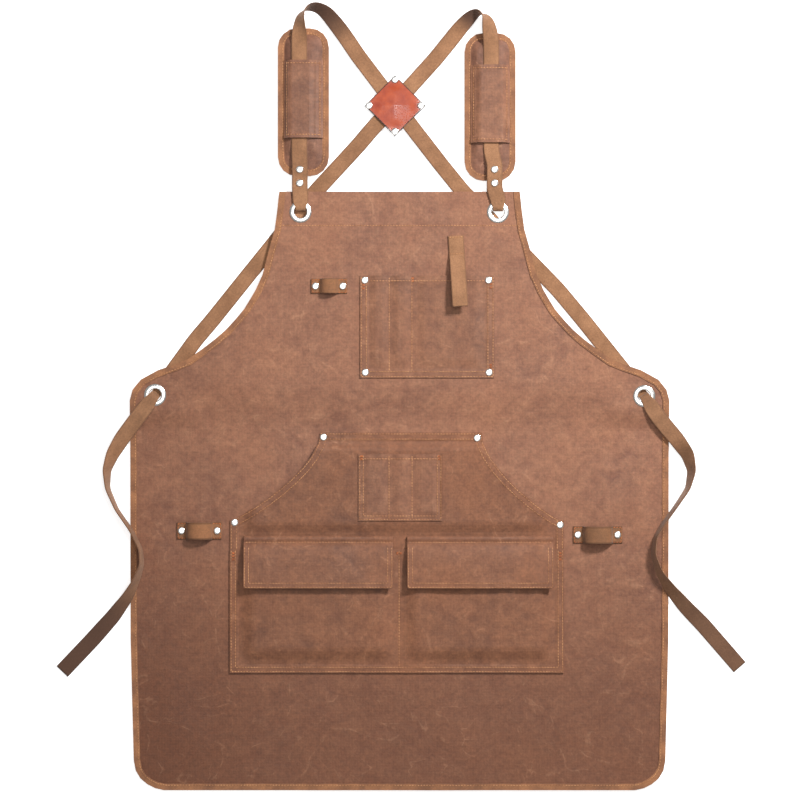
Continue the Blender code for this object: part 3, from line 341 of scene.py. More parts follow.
# From the pad on: x, y, z, bearing and tilt of the width in millimetres and degrees
STRAP_ROUTES = {
    "left": [(-127.4, 312, 9.7, 0, 0), (-127.4, 450, 9.7, 0, 0), (-127.4, 460, 12.4, 0, 14),
             (-127.1, 470, 14.4, -4, 38), (-126, 482, 16.4, -12, 58), (-121.5, 490.2, 17, -25, 80),
             (-112.8, 494.6, 16.2, 115, 70), (-103.9, 494, 14.6, 92, 55), (-93.2, 487.6, 12.4, 60, 36),
             (-84.8, 478, 10.4, 46, 22), (-75.9, 467, 8.2, 38, 10), (-65.7, 453, 5.8, 36, 4),
             (-54, 435.5, 4.2, 36, 0), (22, 335, 4.2, 38, 0), (33, 321, 3, 38, 0),
             (54.5, 293.5, 0.82, 38, 0), (80, 262, 0.82, 42, 0), (202.1, 135.8, 0.82, 47, 0),
             (234, 97.5, 0.82, 39, 0), (254.4, 72, 0.82, 39, 0)],
    "right": [(116.6, 312, 9.7, 0, 0), (116.6, 447, 9.7, 0, 0), (115.6, 457, 12.4, 0, -8),
              (114.1, 467.3, 14.4, 4, -22), (111, 479, 16.4, 16, -46), (105, 486.8, 17, 30, -78),
              (97.6, 487.6, 16, -100, -62), (89.6, 481.3, 13.8, -66, -40), (78, 469.1, 11.4, -44, -20),
              (66.3, 454.5, 9, -38, -6), (47, 431, 6.1, -35, 0), (-39, 335.5, 6.1, -42, 0),
              (-50, 322.5, 3.9, -42, 0), (-71, 300, 0.82, -44, 0), (-106, 262.2, 0.82, -43, 0),
              (-197.6, 148.5, 0.82, -38, 0), (-238.4, 97.5, 0.82, -39, 0), (-260.1, 72, 0.82, -40, 0)],
}


def untwisted(stations):
    """Turns a width direction about where the bearing in the list jumps to the strip's other edge."""
    kept = [stations[0]]
    for place, across, half in stations[1:]:
        kept.append((place, across if across.dot(kept[-1][1]) > 0 else -across, half))
    return kept


# Where a strap curls over past its pad, its inner face is darkened as painted shade of a face turned away
# from the light
CURL_PAINTED_SHADE = {"left": lambda at: 0.85 * between(at.x, -0.120, -0.112) * between(-at.x, 0.058, 0.088),
              "right": lambda at: 0.9 * between(-at.x, -0.104, -0.098) * between(at.x, 0.072, 0.090)}

# The tail of a strap lies under its own start, and both are held by the strap's two rivets
TAIL_LENGTH = 36
TAIL_HEIGHT = 7.9
for side, other in (("left", "right"), ("right", "left")):
    x, y = (part / MM for part in middle_of(f"grommet_top_{side}"))
    rivet_x = middle_of(f"rivet_strap_{side}_low")[0] / MM
    top, tail = bib_top / MM, bib_top / MM + TAIL_LENGTH
    run = [(rivet_x, tail, TAIL_HEIGHT, 0, 0, FLAT), (rivet_x, top + 6.2, TAIL_HEIGHT, 0, 0, FLAT),
           (rivet_x, top + 1.8, 3.8, 0, 0, FLAT), ((x + rivet_x) / 2, top - 4.5, 3.0, 0, 0, FLAT),
           (x, y + 16, 3.0, 0, 0, FLAT)]
    run += [(x, y + rise, z, 0, 0, GATHERED) for rise, z in ((7.5, 3.0), (3.9, 3.0), (2.2, 4.2), (1.4, 6.2),
                                                             (1.4, 7.4), (2.4, 9.1), (5.4, 9.75))]
    run += [(x, y + 10, OVER_CLOTH, 0, 0, 8.8), (x, y + 15, OVER_CLOTH, 0, 0, FLAT),
            (rivet_x, top + 4, OVER_CLOTH, 0, 0, FLAT), (rivet_x, tail - 2, OVER_CLOTH, 0, 0, FLAT)]
    loop_end = len(run)
    run += [(*place, FLAT) for place in STRAP_ROUTES[side]]
    eye = Vector(waist_eyes[other]) / MM
    last = STRAP_ROUTES[side][-1]
    heading = (eye - Vector(last[:2])).normalized()
    for back, z, half in ((24, ON_TABLE, FLAT), (12, ON_TABLE, GATHERED), (4.6, 1.12, GATHERED),
                          (2.2, 2.6, GATHERED), (1.4, 4.4, GATHERED), (1.4, 5.65, GATHERED)):
        at = eye - heading * back
        run.append((at.x, at.y, z, last[3], 0, half))
    stations = turned_stations(run)
    loop = eased(stations[:loop_end], 1.5 * MM, 2)
    rest = eased(untwisted(stations[loop_end - 1:]), 2.5 * MM, 6)
    strap = laid_strip(f"shoulder_strap_{side}", loop + rest[1:], WEBBING, WEBBING_CLOTH, CURL_PAINTED_SHADE[side])
    fitted(strap, "apron", "webbing", f"strap_{side}")

# ---------------------------------------------------------------- apron body
# One piece of 16 oz cotton duck, waxed and dyed brown. Handling has rubbed it lighter in clouds and
# fine creases, and it lies in low soft waves that every pocket sewn on it follows.

hardware = [middle_of(node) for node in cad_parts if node.startswith(("rivet_", "grommet_"))]
CANVAS = 0.9 * MM
# Between the waist grommets, where no strap lies under it, the cloth comes down more gently
BIB_LIFT = 5.1 * MM


def waves(x, y):
    """How far the cloth stands above its plain solid at a place, nothing where metal clinches it."""
    broad = noise.noise(Vector((x * 8.5, y * 6.0, 1.3)))
    narrow = noise.noise(Vector((x * 21 + y * 9, y * 13 - x * 7, 4.1)))
    rise = max(0.0, 0.42 + 1.15 * broad + 0.5 * narrow) * 1.15 * MM
    near = min((x - a) ** 2 + (y - b) ** 2 for a, b in hardware) ** 0.5
    hold = min(max((near - 0.012) / 0.035, 0.0), 1.0)
    fall = between(y, -45 * MM, 20 * MM) - between(y, -45 * MM, -13 * MM)
    ease = BIB_LIFT * fall * (1 - between(abs(x), 240 * MM, 285 * MM))
    return rise * hold * hold * (3 - 2 * hold) + ease


def canvas_cloth(name, light_hex, middle_hex, dark_hex, falloff_shade_hex=None):
    """Waxed cotton duck: matt with a faint waxy bloom, clouded where it has been handled.

    Rubbed creases are paler than the cloth. Its threads are 0.5 mm apart and are drawn 2 mm apart.
    """
    material, tree, shader = new_material(name, 0.66)
    place = add_node(tree, "TexCoord")
    flat = place.outputs["Object"]
    bend = add_node(tree, "TexNoise", {"Vector": flat, "Scale": 9.0, "Detail": 3.0})
    shift = add_node(tree, "VectorMath", {0: bend.outputs["Color"], "Scale": 0.035}, operation="SCALE")
    moved = add_node(tree, "VectorMath", {0: flat, 1: shift.outputs[0]}, operation="ADD")
    clouds = add_node(tree, "TexNoise", {"Vector": moved.outputs[0], "Scale": 12.0, "Detail": 6.0,
                                         "Roughness": 0.58})
    mottle = add_node(tree, "TexNoise", {"Vector": moved.outputs[0], "Scale": 62.0, "Detail": 5.0,
                                         "Roughness": 0.62})
    cloudy = add_node(tree, "MapRange", {"Value": clouds.outputs["Fac"], "From Min": 0.34, "From Max": 0.66})
    spots = add_node(tree, "MapRange", {"Value": mottle.outputs["Fac"], "From Min": 0.34, "From Max": 0.7})
    base = add_node(tree, "Mix", {0: cloudy.outputs[0], 6: colour(dark_hex), 7: colour(middle_hex)},
                    data_type="RGBA")
    half = add_node(tree, "Math", {0: spots.outputs[0], 1: 0.62}, operation="MULTIPLY")
    rubbed = add_node(tree, "Mix", {0: half.outputs[0], 6: base.outputs[2], 7: colour(light_hex)},
                      data_type="RGBA")
    ground = rubbed.outputs[2]
    # Painted shade: given a last colour, the cloth darkens towards it at the bottom and the left, where the
    # key light falls off
    if falloff_shade_hex:
        parts = add_node(tree, "SeparateXYZ", {0: flat})
        down = add_node(tree, "MapRange", {"Value": parts.outputs[1], "From Min": -0.06, "From Max": -0.46,
                                           "To Max": 0.62}, interpolation_type="SMOOTHSTEP")
        aside = add_node(tree, "MapRange", {"Value": parts.outputs[0], "From Min": -0.12, "From Max": -0.33,
                                            "To Max": 0.26}, interpolation_type="SMOOTHSTEP")
        both = add_node(tree, "Math", {0: down.outputs[0], 1: aside.outputs[0]}, operation="ADD",
                        use_clamp=True)
        painted_falloff_shade = add_node(tree, "Mix", {0: both.outputs[0], 6: ground, 7: colour(falloff_shade_hex)},
                          data_type="RGBA")
        ground = painted_falloff_shade.outputs[2]
    creases = ground
    heights = []
    for scale, width, strength, offset in ((7.0, 0.007, 0.2, 0.0), (17.0, 0.011, 0.18, 3.7)):
        turn = add_node(tree, "Mapping", {"Vector": moved.outputs[0], "Location": (offset, offset, 0)})
        field = add_node(tree, "TexNoise", {"Vector": turn.outputs[0], "Scale": scale, "Detail": 2.0,
                                            "Distortion": 0.6})
        off = add_node(tree, "Math", {0: field.outputs["Fac"], 1: 0.5}, operation="SUBTRACT")
        ridge = add_node(tree, "Math", {0: off.outputs[0]}, operation="ABSOLUTE")
        line = add_node(tree, "MapRange", {"Value": ridge.outputs[0], "From Min": 0.0, "From Max": width,
                                           "To Min": 1.0, "To Max": 0.0}, interpolation_type="SMOOTHSTEP")
        broken = add_node(tree, "MapRange", {"Value": mottle.outputs["Fac"], "From Min": 0.47,
                                             "From Max": 0.62, "To Max": strength})
        faint = add_node(tree, "Math", {0: line.outputs[0], 1: broken.outputs[0]}, operation="MULTIPLY")
        lined = add_node(tree, "Mix", {0: faint.outputs[0], 6: creases, 7: colour("B58565")},
                         data_type="RGBA")
        creases = lined.outputs[2]
        heights.append(faint.outputs[0])
    fibres = add_node(tree, "TexNoise", {"Vector": flat, "Scale": 250.0, "Detail": 4.0, "Roughness": 0.72})
    speck = add_node(tree, "MapRange", {"Value": fibres.outputs["Fac"], "From Min": 0.3, "From Max": 0.7,
                                        "To Min": 0.76, "To Max": 1.22})
    toned = add_node(tree, "VectorMath", {0: creases, "Scale": speck.outputs[0]}, operation="SCALE")
    tree.links.new(toned.outputs[0], shader.inputs["Base Color"])
    bloom = add_node(tree, "MapRange", {"Value": clouds.outputs["Fac"], "From Min": 0.3, "From Max": 0.7,
                                        "To Min": 0.58, "To Max": 0.76})
    tree.links.new(bloom.outputs[0], shader.inputs["Roughness"])
    warp = add_node(tree, "TexWave", {"Vector": flat, "Scale": 157.0, "Distortion": 1.2, "Detail": 1.0},
                    bands_direction="X")
    weft = add_node(tree, "TexWave", {"Vector": flat, "Scale": 157.0, "Distortion": 1.2, "Detail": 1.0},
                    bands_direction="Y")
    cloth = add_node(tree, "Math", {0: warp.outputs["Fac"], 1: weft.outputs["Fac"]}, operation="ADD")
    thread_bump = add_node(tree, "Bump", {"Height": cloth.outputs[0], "Strength": 0.22, "Distance": 0.00022})
    crease_bump = add_node(tree, "Bump", {"Height": mottle.outputs["Fac"], "Strength": 0.5,
                                          "Distance": 0.0016, "Normal": thread_bump.outputs[0]})
    line_bump = add_node(tree, "Bump", {"Height": heights[0], "Strength": 0.4, "Distance": 0.0009,
                                        "Normal": crease_bump.outputs[0]})
    tree.links.new(line_bump.outputs[0], shader.inputs["Normal"])
    shader.inputs["Sheen Weight"].default_value = 0.1
    shader.inputs["Sheen Roughness"].default_value = 0.45
    return material


# The body's last colour is painted shade towards the bottom and the left of the apron
BODY_CANVAS = canvas_cloth("waxed_cotton_duck", "9F6E51", "8A5B43", "714632", "5E331B")
POCKET_CANVAS = canvas_cloth("waxed_cotton_duck_pockets", "966649", "7F523B", "68402C")
PANEL_CANVAS = canvas_cloth("waxed_cotton_duck_panel", "905E40", "7A4C33", "633B26")
PAD_CANVAS = canvas_cloth("waxed_cotton_duck_pads", "8F6149", "754B38", "563424")


def cloth_cut(node, name, step, material, rows=(), columns=(), relief=None, lie=True, slack=1.0):
    """A fine copy of a flat plain solid: cut to a grid, laid on the waves and given its relief.

    An empty pocket falls shut, so its cloth keeps only the share slack of the solid's room.
    """
    low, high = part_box(node)
    bm = bmesh.new()
    bm.from_mesh(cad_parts[node].data)
    bmesh.ops.remove_doubles(bm, verts=bm.verts[:], dist=1e-6)
    for axis, extra in ((0, columns), (1, rows)):
        count = int((high[axis] - low[axis]) / step)
        cuts = [low[axis] + (high[axis] - low[axis]) * (i + 0.5) / count for i in range(count)]
        cuts = [c for c in cuts if all(abs(c - e) > step * 0.3 for e in extra)] + list(extra)
        normal = (1, 0, 0) if axis == 0 else (0, 1, 0)
        for cut in sorted(cuts):
            point = (cut, 0, 0) if axis == 0 else (0, cut, 0)
            everything = bm.verts[:] + bm.edges[:] + bm.faces[:]
            bmesh.ops.bisect_plane(bm, geom=everything, dist=2e-6, plane_co=point, plane_no=normal)
    bm.normal_update()
    upper = [vert.normal.z > 0.05 for vert in bm.verts]
    for vert, above in zip(bm.verts, upper):
        x, y, z = vert.co
        rests_at = low[2] + CANVAS if above else low[2]
        z = rests_at + (z - low[2] - (CANVAS if above else 0.0)) * slack
        vert.co.z = z + (waves(x, y) if lie else 0.0) + (relief(x, y) if relief and above else 0.0)
    for face in bm.faces:
        face.smooth = True
    for edge in bm.edges:
        if len(edge.link_faces) == 2 and edge.calc_face_angle(0) > 0.9:
            edge.smooth = False
    mesh = bpy.data.meshes.new(name)
    bm.to_mesh(mesh)
    bm.free()
    return set_out(name, mesh, material)


apron_body = cloth_cut("body_panel", "apron_body", 5 * MM, BODY_CANVAS)
fitted(apron_body, "apron", "canvas", "body_panel")
facing = cloth_cut("bib_facing", "bib_hem_behind", 6 * MM, BODY_CANVAS)
fitted(facing, "apron", "canvas", "bib_facing")

# ---------------------------------------------------------------- edge binding
# Folded cotton tape, 7 mm showing, sewn round every edge of the body but the bib's top. It is the
# same dye as the webbing, rounded over the raw edge, and one row of stitching holds both faces.


def tape_cloth(name, face_hex, shade_hex):
    """Folded cotton tape: matt, tightly woven, a little paler where its fold is rubbed."""
    material, tree, shader = new_material(name, 0.78)
    place = add_node(tree, "TexCoord")
    rubs = add_node(tree, "TexNoise", {"Vector": place.outputs["Object"], "Scale": 48.0, "Detail": 5.0,
                                       "Roughness": 0.6})
    fibres = add_node(tree, "TexNoise", {"Vector": place.outputs["Object"], "Scale": 480.0, "Detail": 2.0})
    worn = add_node(tree, "MapRange", {"Value": rubs.outputs["Fac"], "From Min": 0.36, "From Max": 0.64})
    base = add_node(tree, "Mix", {0: worn.outputs[0], 6: colour(shade_hex), 7: colour(face_hex)},
                    data_type="RGBA")
    speck = add_node(tree, "MapRange", {"Value": fibres.outputs["Fac"], "From Min": 0.3, "From Max": 0.7,
                                        "To Min": 0.86, "To Max": 1.12})
    toned = add_node(tree, "VectorMath", {0: base.outputs[2], "Scale": speck.outputs[0]}, operation="SCALE")
    tree.links.new(toned.outputs[0], shader.inputs["Base Color"])
    bump = add_node(tree, "Bump", {"Height": fibres.outputs["Fac"], "Strength": 0.35, "Distance": 0.0004})
    tree.links.new(bump.outputs[0], shader.inputs["Normal"])
    shader.inputs["Sheen Weight"].default_value = 0.1
    return material


BINDING_TAPE = tape_cloth("binding_tape", "9C6945", "7A5036")


def take_up(piece):
    """Selects one piece alone and makes it active."""
    bpy.ops.object.select_all(action="DESELECT")
    piece.select_set(True)
    bpy.context.view_layer.objects.active = piece


def finish_with(piece, kind, **settings):
    """Adds a modifier to a piece and applies it."""
    take_up(piece)
    modifier = piece.modifiers.new("finish", kind)
    for name, value in settings.items():
        setattr(modifier, name, value)
    bpy.ops.object.modifier_apply(modifier=modifier.name)


def rounded(piece, radius, segments):
    """Rounds a piece's sharp edges."""
    finish_with(piece, "BEVEL", width=radius, segments=segments, limit_method="ANGLE", angle_limit=0.9)


binding = cloth_cut("edge_binding", "edge_binding_tape", 6 * MM, BINDING_TAPE)
rounded(binding, 0.5 * MM, 2)
fitted(binding, "apron", "binding", "edge_binding")

# ---------------------------------------------------------------- stitching
# Waxed polyester thread, tan against the brown cloth, 7 stitches to the inch. One stitch is shaped
# once and laid along every seam, on whatever cloth the seam holds down.

STITCH_PITCH = 3.7 * MM
STITCH_LENGTH = 3.3 * MM
# Thread is 0.7 mm across and is drawn 1.1 mm across so that a seam shows
STITCH_WIDTH = 1.1 * MM
# How far a stitch's middle stands off the cloth, as a share of its width
STITCH_PROUD = 0.1

bpy.ops.object.select_all(action="DESELECT")
bpy.ops.mesh.primitive_uv_sphere_add(segments=6, ring_count=3, radius=0.5, location=(0, 0, 0))
one_stitch = bpy.context.object
bpy.ops.object.mode_set(mode="EDIT")
bpy.ops.transform.rotate(value=math.pi / 2, orient_axis="Y", center_override=(0, 0, 0))
bpy.ops.transform.resize(value=(STITCH_LENGTH, STITCH_WIDTH, STITCH_WIDTH * 0.7))
bpy.ops.object.mode_set(mode="OBJECT")
stitch_points = [v.co.copy() for v in one_stitch.data.vertices]
stitch_faces = [tuple(p.vertices) for p in one_stitch.data.polygons]
bpy.data.objects.remove(one_stitch, do_unlink=True)


def thread_finish(name, thread_hex, shade_hex):
    """Waxed thread: slightly shiny, its tan picked up unevenly from the wax in the cloth."""
    material, tree, shader = new_material(name, 0.5)
    place = add_node(tree, "TexCoord")
    dirt = add_node(tree, "TexNoise", {"Vector": place.outputs["Object"], "Scale": 70.0, "Detail": 3.0})
    amount = add_node(tree, "MapRange", {"Value": dirt.outputs["Fac"], "From Min": 0.38, "From Max": 0.62})
    base = add_node(tree, "Mix", {0: amount.outputs[0], 6: colour(shade_hex), 7: colour(thread_hex)},
                    data_type="RGBA")
    tree.links.new(base.outputs[2], shader.inputs["Base Color"])
    twist = add_node(tree, "TexWave", {"Vector": place.outputs["Object"], "Scale": 420.0},
                     bands_direction="DIAGONAL")
    bump = add_node(tree, "Bump", {"Height": twist.outputs["Fac"], "Strength": 0.3, "Distance": 0.0002})
    tree.links.new(bump.outputs[0], shader.inputs["Normal"])
    return material


TAN_THREAD = thread_finish("tan_waxed_thread", "CB9263", "9F6A43")
RUST_THREAD = thread_finish("rust_waxed_thread", "BE6B38", "96522D")


def sewn(name, rows, held, body, thread=TAN_THREAD):
    """Lays stitches along rows of x, y points on top of the pieces held, and rides them on a body."""
    points, faces = [], []
    for piece in held:
        shift = len(points)
        points += [v.co.copy() for v in piece.data.vertices]
        faces += [tuple(i + shift for i in p.vertices) for p in piece.data.polygons]
    surface = BVHTree.FromPolygons(points, faces)
    made_points, made_faces = [], []
    for row in rows:
        corners = [Vector((x, y, 0)) for x, y in row]
        for start, end in zip(corners, corners[1:]):
            ahead = (end - start).normalized()
            count = max(1, round((end - start).length / STITCH_PITCH))
            for i in range(count):
                spot = start.lerp(end, (i + 0.5) / count)
                hit, normal, _, _ = surface.ray_cast(spot + Vector((0, 0, 0.08)), Vector((0, 0, -1)))
                if hit is None:
                    continue
                normal = normal if normal.z > 0 else -normal
                along = (ahead - normal * ahead.dot(normal)).normalized()
                across = normal.cross(along)
                shift = len(made_points)
                made_points += [hit + along * p.x + across * p.y
                                + normal * (p.z + STITCH_WIDTH * STITCH_PROUD) for p in stitch_points]
                made_faces += [tuple(n + shift for n in face) for face in stitch_faces]
    mesh = bpy.data.meshes.new(name)
    mesh.from_pydata(made_points, [], made_faces)
    mesh.polygons.foreach_set("use_smooth", [True] * len(mesh.polygons))
    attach(set_out(name, mesh, thread), body)


def bar_tack(x, y, length, upright=True):
    """Rows of a bar tack, the close stitching that takes the strain at the end of a seam."""
    beside = (-1.1 * MM, 0.0, 1.1 * MM)
    if upright:
        return [[(x + offset, y - length / 2), (x + offset, y + length / 2)] for offset in beside]
    return [[(x - length / 2, y + offset), (x + length / 2, y + offset)] for offset in beside]


def walked(path, inward):
    """A path of x, y points moved to its left by a distance, mitred at its turns."""
    moved = []
    for i, point in enumerate(path):
        before = (Vector(point) - Vector(path[max(i - 1, 0)]))
        after = (Vector(path[min(i + 1, len(path) - 1)]) - Vector(point))
        before = before.normalized() if before.length else after.normalized()
        after = after.normalized() if after.length else before
        ahead = (before + after).normalized()
        left = Vector((-ahead.y, ahead.x)) / max(ahead.dot(after), 0.6)
        moved.append((point[0] + left.x * inward, point[1] + left.y * inward))
    return moved


def outline_of(node):
    """The outer corners of a plain solid seen from above, anticlockwise."""
    bm = bmesh.new()
    bm.from_mesh(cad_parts[node].data)
    bmesh.ops.remove_doubles(bm, verts=bm.verts[:], dist=1e-6)
    bm.normal_update()
    bmesh.ops.delete(bm, geom=[f for f in bm.faces if f.normal.z < 0.3], context="FACES")
    following = {}
    for edge in bm.edges:
        if len(edge.link_faces) == 1:
            for loop in edge.link_loops:
                following[loop.vert] = loop.link_loop_next.vert
    first = max(following, key=lambda v: v.co.y - v.co.x * 1e-3)
    path, here = [], first
    while here in following and (not path or here != first):
        path.append((here.co.x, here.co.y))
        here = following[here]
    bm.free()
    return path


skirt_edge = outline_of("body_panel")
tape_row = [p for p in walked(skirt_edge, 5.2 * MM) if p[1] < bib_top - 0.002]
hem_y = bib_top - 43 * MM
hem_reach = max(x for x, y in skirt_edge if abs(y - hem_y) < 0.03) - 8 * MM
sewn("binding_stitching", [tape_row], [binding, apron_body], "apron")
sewn("bib_hem_stitching", [[(-hem_reach, hem_y), (hem_reach, hem_y)]], [apron_body], "apron")

# ---------------------------------------------------------------- chest pocket
# A patch of the same canvas with its raw edges turned under, double stitched and riveted at the
# corners, and divided by two seams into two narrow slots and one wide compartment.


def turned_edge(low, high, hem, rise, lines_x=(), lines_y=()):
    """Relief of a cloth piece whose turned edges are one fold thicker and pinched along its seams."""
    def relief(x, y):
        near = min(x - low[0], high[0] - x, y - low[1], high[1] - y)
        fold = rise * (1 - min(max((near - hem) / (1.6 * MM), 0.0), 1.0))
        for line in lines_x:
            fold -= 0.22 * MM * max(0.0, 1 - abs(x - line) / (2.2 * MM))
        for line in lines_y:
            fold -= 0.22 * MM * max(0.0, 1 - abs(y - line) / (2.2 * MM))
        pucker = noise.noise(Vector((x * 190, y * 190, 0.7))) * 0.16 * MM
        return fold + pucker * max(0.0, 1 - near / (14 * MM))
    return relief


def frame_rows(low, high, inwards):
    """Rows of stitching down the left, along the bottom and up the right of a box, moved inwards."""
    rows = []
    for d in inwards:
        x0, x1, y0, y1 = low[0] + d, high[0] - d, low[1] + d, high[1] - 1.5 * MM
        rows.append([(x0, y1), (x0, y0), (x1, y0), (x1, y1)])
    return rows


def past(edge, *depths):
    """Lines at each depth in millimetres past a low edge."""
    return [edge + d * MM for d in depths]


def short_of(edge, *depths):
    """Lines at each depth in millimetres short of a high edge."""
    return [edge - d * MM for d in depths]


low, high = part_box("chest_pocket")
first, second = low[0] + 38.3 * MM, low[0] + 67.0 * MM
chest_rows = past(low[1], 1.6, 4, 6.5, 9, 11) + short_of(high[1], 1.5, 5, 7, 9.5)
chest_columns = past(low[0], 1.6, 4, 6.5, 9, 11) + short_of(high[0], 1.6, 4, 6.5, 9, 11)
chest_columns += past(first, -2, 0, 2) + past(second, -2, 0, 2)
chest = cloth_cut("chest_pocket", "chest_pocket_cloth", 3.5 * MM, POCKET_CANVAS, chest_rows, chest_columns,
                  turned_edge(low, high, 9.0 * MM, 0.45 * MM, (first, second)), slack=0.3)
fitted(chest, "apron", "canvas", "chest_pocket")
seams = frame_rows(low, high, (1.7 * MM, 8.2 * MM))
seams += [[(at, low[1] + 9 * MM), (at, high[1] - 2 * MM)] for at in (first - 1 * MM, second - 1 * MM)]
seams.append([(low[0] + 9 * MM, high[1] - 6.6 * MM), (high[0] - 9 * MM, high[1] - 6.6 * MM)])
sewn("chest_pocket_stitching", seams, [chest], "apron")
tacks = bar_tack(low[0] + 4.5 * MM, high[1] - 14 * MM, 8 * MM)
tacks += bar_tack(high[0] - 4.5 * MM, high[1] - 13 * MM, 9 * MM)
tacks += bar_tack(high[0] - 4.5 * MM, low[1] + 15 * MM, 6 * MM)
tacks += bar_tack(second, high[1] - 5 * MM, 7 * MM)
sewn("chest_pocket_bar_tacks", tacks, [chest], "apron", RUST_THREAD)

# ---------------------------------------------------------------- kangaroo panel
# The big hand-warmer panel across the lap. Its curved sides are the hand openings, double stitched,
# and its top, its lower sides and its bottom are sewn down, with a rivet at each end of a curve.

low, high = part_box("kangaroo_pocket")
panel_path = outline_of("kangaroo_pocket")
around = panel_path + panel_path[:1]
panel_rows = past(low[1], 1.7, 4, 7, 9) + short_of(high[1], 1.7, 4, 7, 9)
panel_sides = [(Vector(a), Vector(b)) for a, b in zip(around, around[1:])]


def panel_relief(x, y):
    """The turned edge all round the panel is a fold thicker, and puckers between its two seams."""
    here = Vector((x, y))
    near = 1.0
    for a, b in panel_sides:
        share = min(max((here - a).dot(b - a) / max((b - a).length_squared, 1e-12), 0.0), 1.0)
        near = min(near, (here - a.lerp(b, share)).length)
    pucker = noise.noise(Vector((x * 190, y * 190, 0.7))) * 0.18 * MM * max(0.0, 1 - near / (14 * MM))
    return 0.5 * MM * (1 - between(near, 9 * MM, 10.6 * MM)) + pucker


kangaroo = cloth_cut("kangaroo_pocket", "kangaroo_panel_cloth", 3.6 * MM, PANEL_CANVAS, panel_rows,
                     relief=panel_relief)
fitted(kangaroo, "apron", "canvas", "kangaroo_pocket")
lower_low, lower_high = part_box("lower_pocket")
# Where the right edge of the lower pocket meets the curved hand opening
RIGHT_SEAM_END = -158 * MM
panel_seams = []
for inward in (1.8 * MM, 8.4 * MM):
    row = walked(around, inward)
    cut = next(i for i, p in enumerate(row) if p[1] <= lower_high[1])
    panel_seams.append([row[cut - 1], (row[cut - 1][0], lower_high[1])])
    for a, b in zip(row, row[1:]):
        if min(a[1], b[1]) > lower_high[1]:
            panel_seams.append([a, b])
    right_x = high[0] - inward
    panel_seams.append([(right_x, lower_high[1]), (right_x, RIGHT_SEAM_END)])
sewn("kangaroo_panel_stitching", panel_seams, [kangaroo], "apron")

# ---------------------------------------------------------------- lower pockets
# One piece of canvas across the foot of the panel, sewn down its middle into two pockets whose
# mouths lie under the flaps.

low, high = lower_low, lower_high
# The seam between the two pockets is a little to the right of the middle
middle = (low[0] + high[0]) / 2 + 2.9 * MM
lower_columns = past(low[0], 1.7, 4, 7, 9) + short_of(high[0], 1.7, 4, 7, 9) + past(middle, -2, 0, 2)
lower = cloth_cut("lower_pocket", "lower_pocket_cloth", 4.5 * MM, PANEL_CANVAS,
                  past(low[1], 1.7, 4, 7, 9), lower_columns,
                  turned_edge(low, high, 8.5 * MM, 0.4 * MM, (middle,)))
fitted(lower, "apron", "canvas", "lower_pocket")
seams = frame_rows(low, high, (1.7 * MM, 7.2 * MM))
seams.append([(middle, low[1] + 8 * MM), (middle, high[1] - 2 * MM)])
sewn("lower_pocket_stitching", seams, [lower], "apron")
tacks = bar_tack(low[0] + 4.5 * MM, high[1] - 9 * MM, 12 * MM)
tacks += bar_tack(high[0] - 4.5 * MM, high[1] - 9 * MM, 12 * MM)
tacks += bar_tack(middle, high[1] - 5 * MM, 9 * MM, upright=False)
sewn("lower_pocket_bar_tacks", tacks, [lower], "apron", RUST_THREAD)

# ---------------------------------------------------------------- pencil pocket
# A small patch on the panel, sewn down in two places into three slots for pencils and a rule.

low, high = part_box("pencil_pocket")
slots = (low[0] + 38.9 * MM, low[0] + 68.2 * MM)
pencil_columns = past(low[0], 1.6, 4, 6.5) + short_of(high[0], 1.6, 4, 6.5)
pencil = cloth_cut("pencil_pocket", "pencil_pocket_cloth", 3 * MM, POCKET_CANVAS,
                   short_of(high[1], 1.5, 5, 7, 9.5), pencil_columns,
                   turned_edge(low, high, 5.5 * MM, 0.35 * MM, slots), slack=0.25)
fitted(pencil, "apron", "canvas", "pencil_pocket")
seams = frame_rows(low, high, (1.7 * MM, 6.2 * MM))
seams += [[(at, low[1] + 2 * MM), (at, high[1] - 2 * MM)] for at in slots]
seams.append([(low[0] + 3 * MM, high[1] - 6 * MM), (high[0] - 3 * MM, high[1] - 6 * MM)])
sewn("pencil_pocket_stitching", seams, [pencil], "apron")
tacks = [row for x in (low[0] + 4 * MM, high[0] - 4 * MM) for row in bar_tack(x, high[1] - 4.5 * MM, 7 * MM)]
sewn("pencil_pocket_bar_tacks", tacks, [pencil], "apron", RUST_THREAD)

# ---------------------------------------------------------------- pocket flaps
# Two layers of canvas turned and top-stitched. The upper edge is rolled into a ridge and sewn to
# the panel, and the flap stands a little off its pocket, so it shades the cloth under it.

FLAP_CLOTH = 1.9 * MM
FLAP_COLUMNS = 44
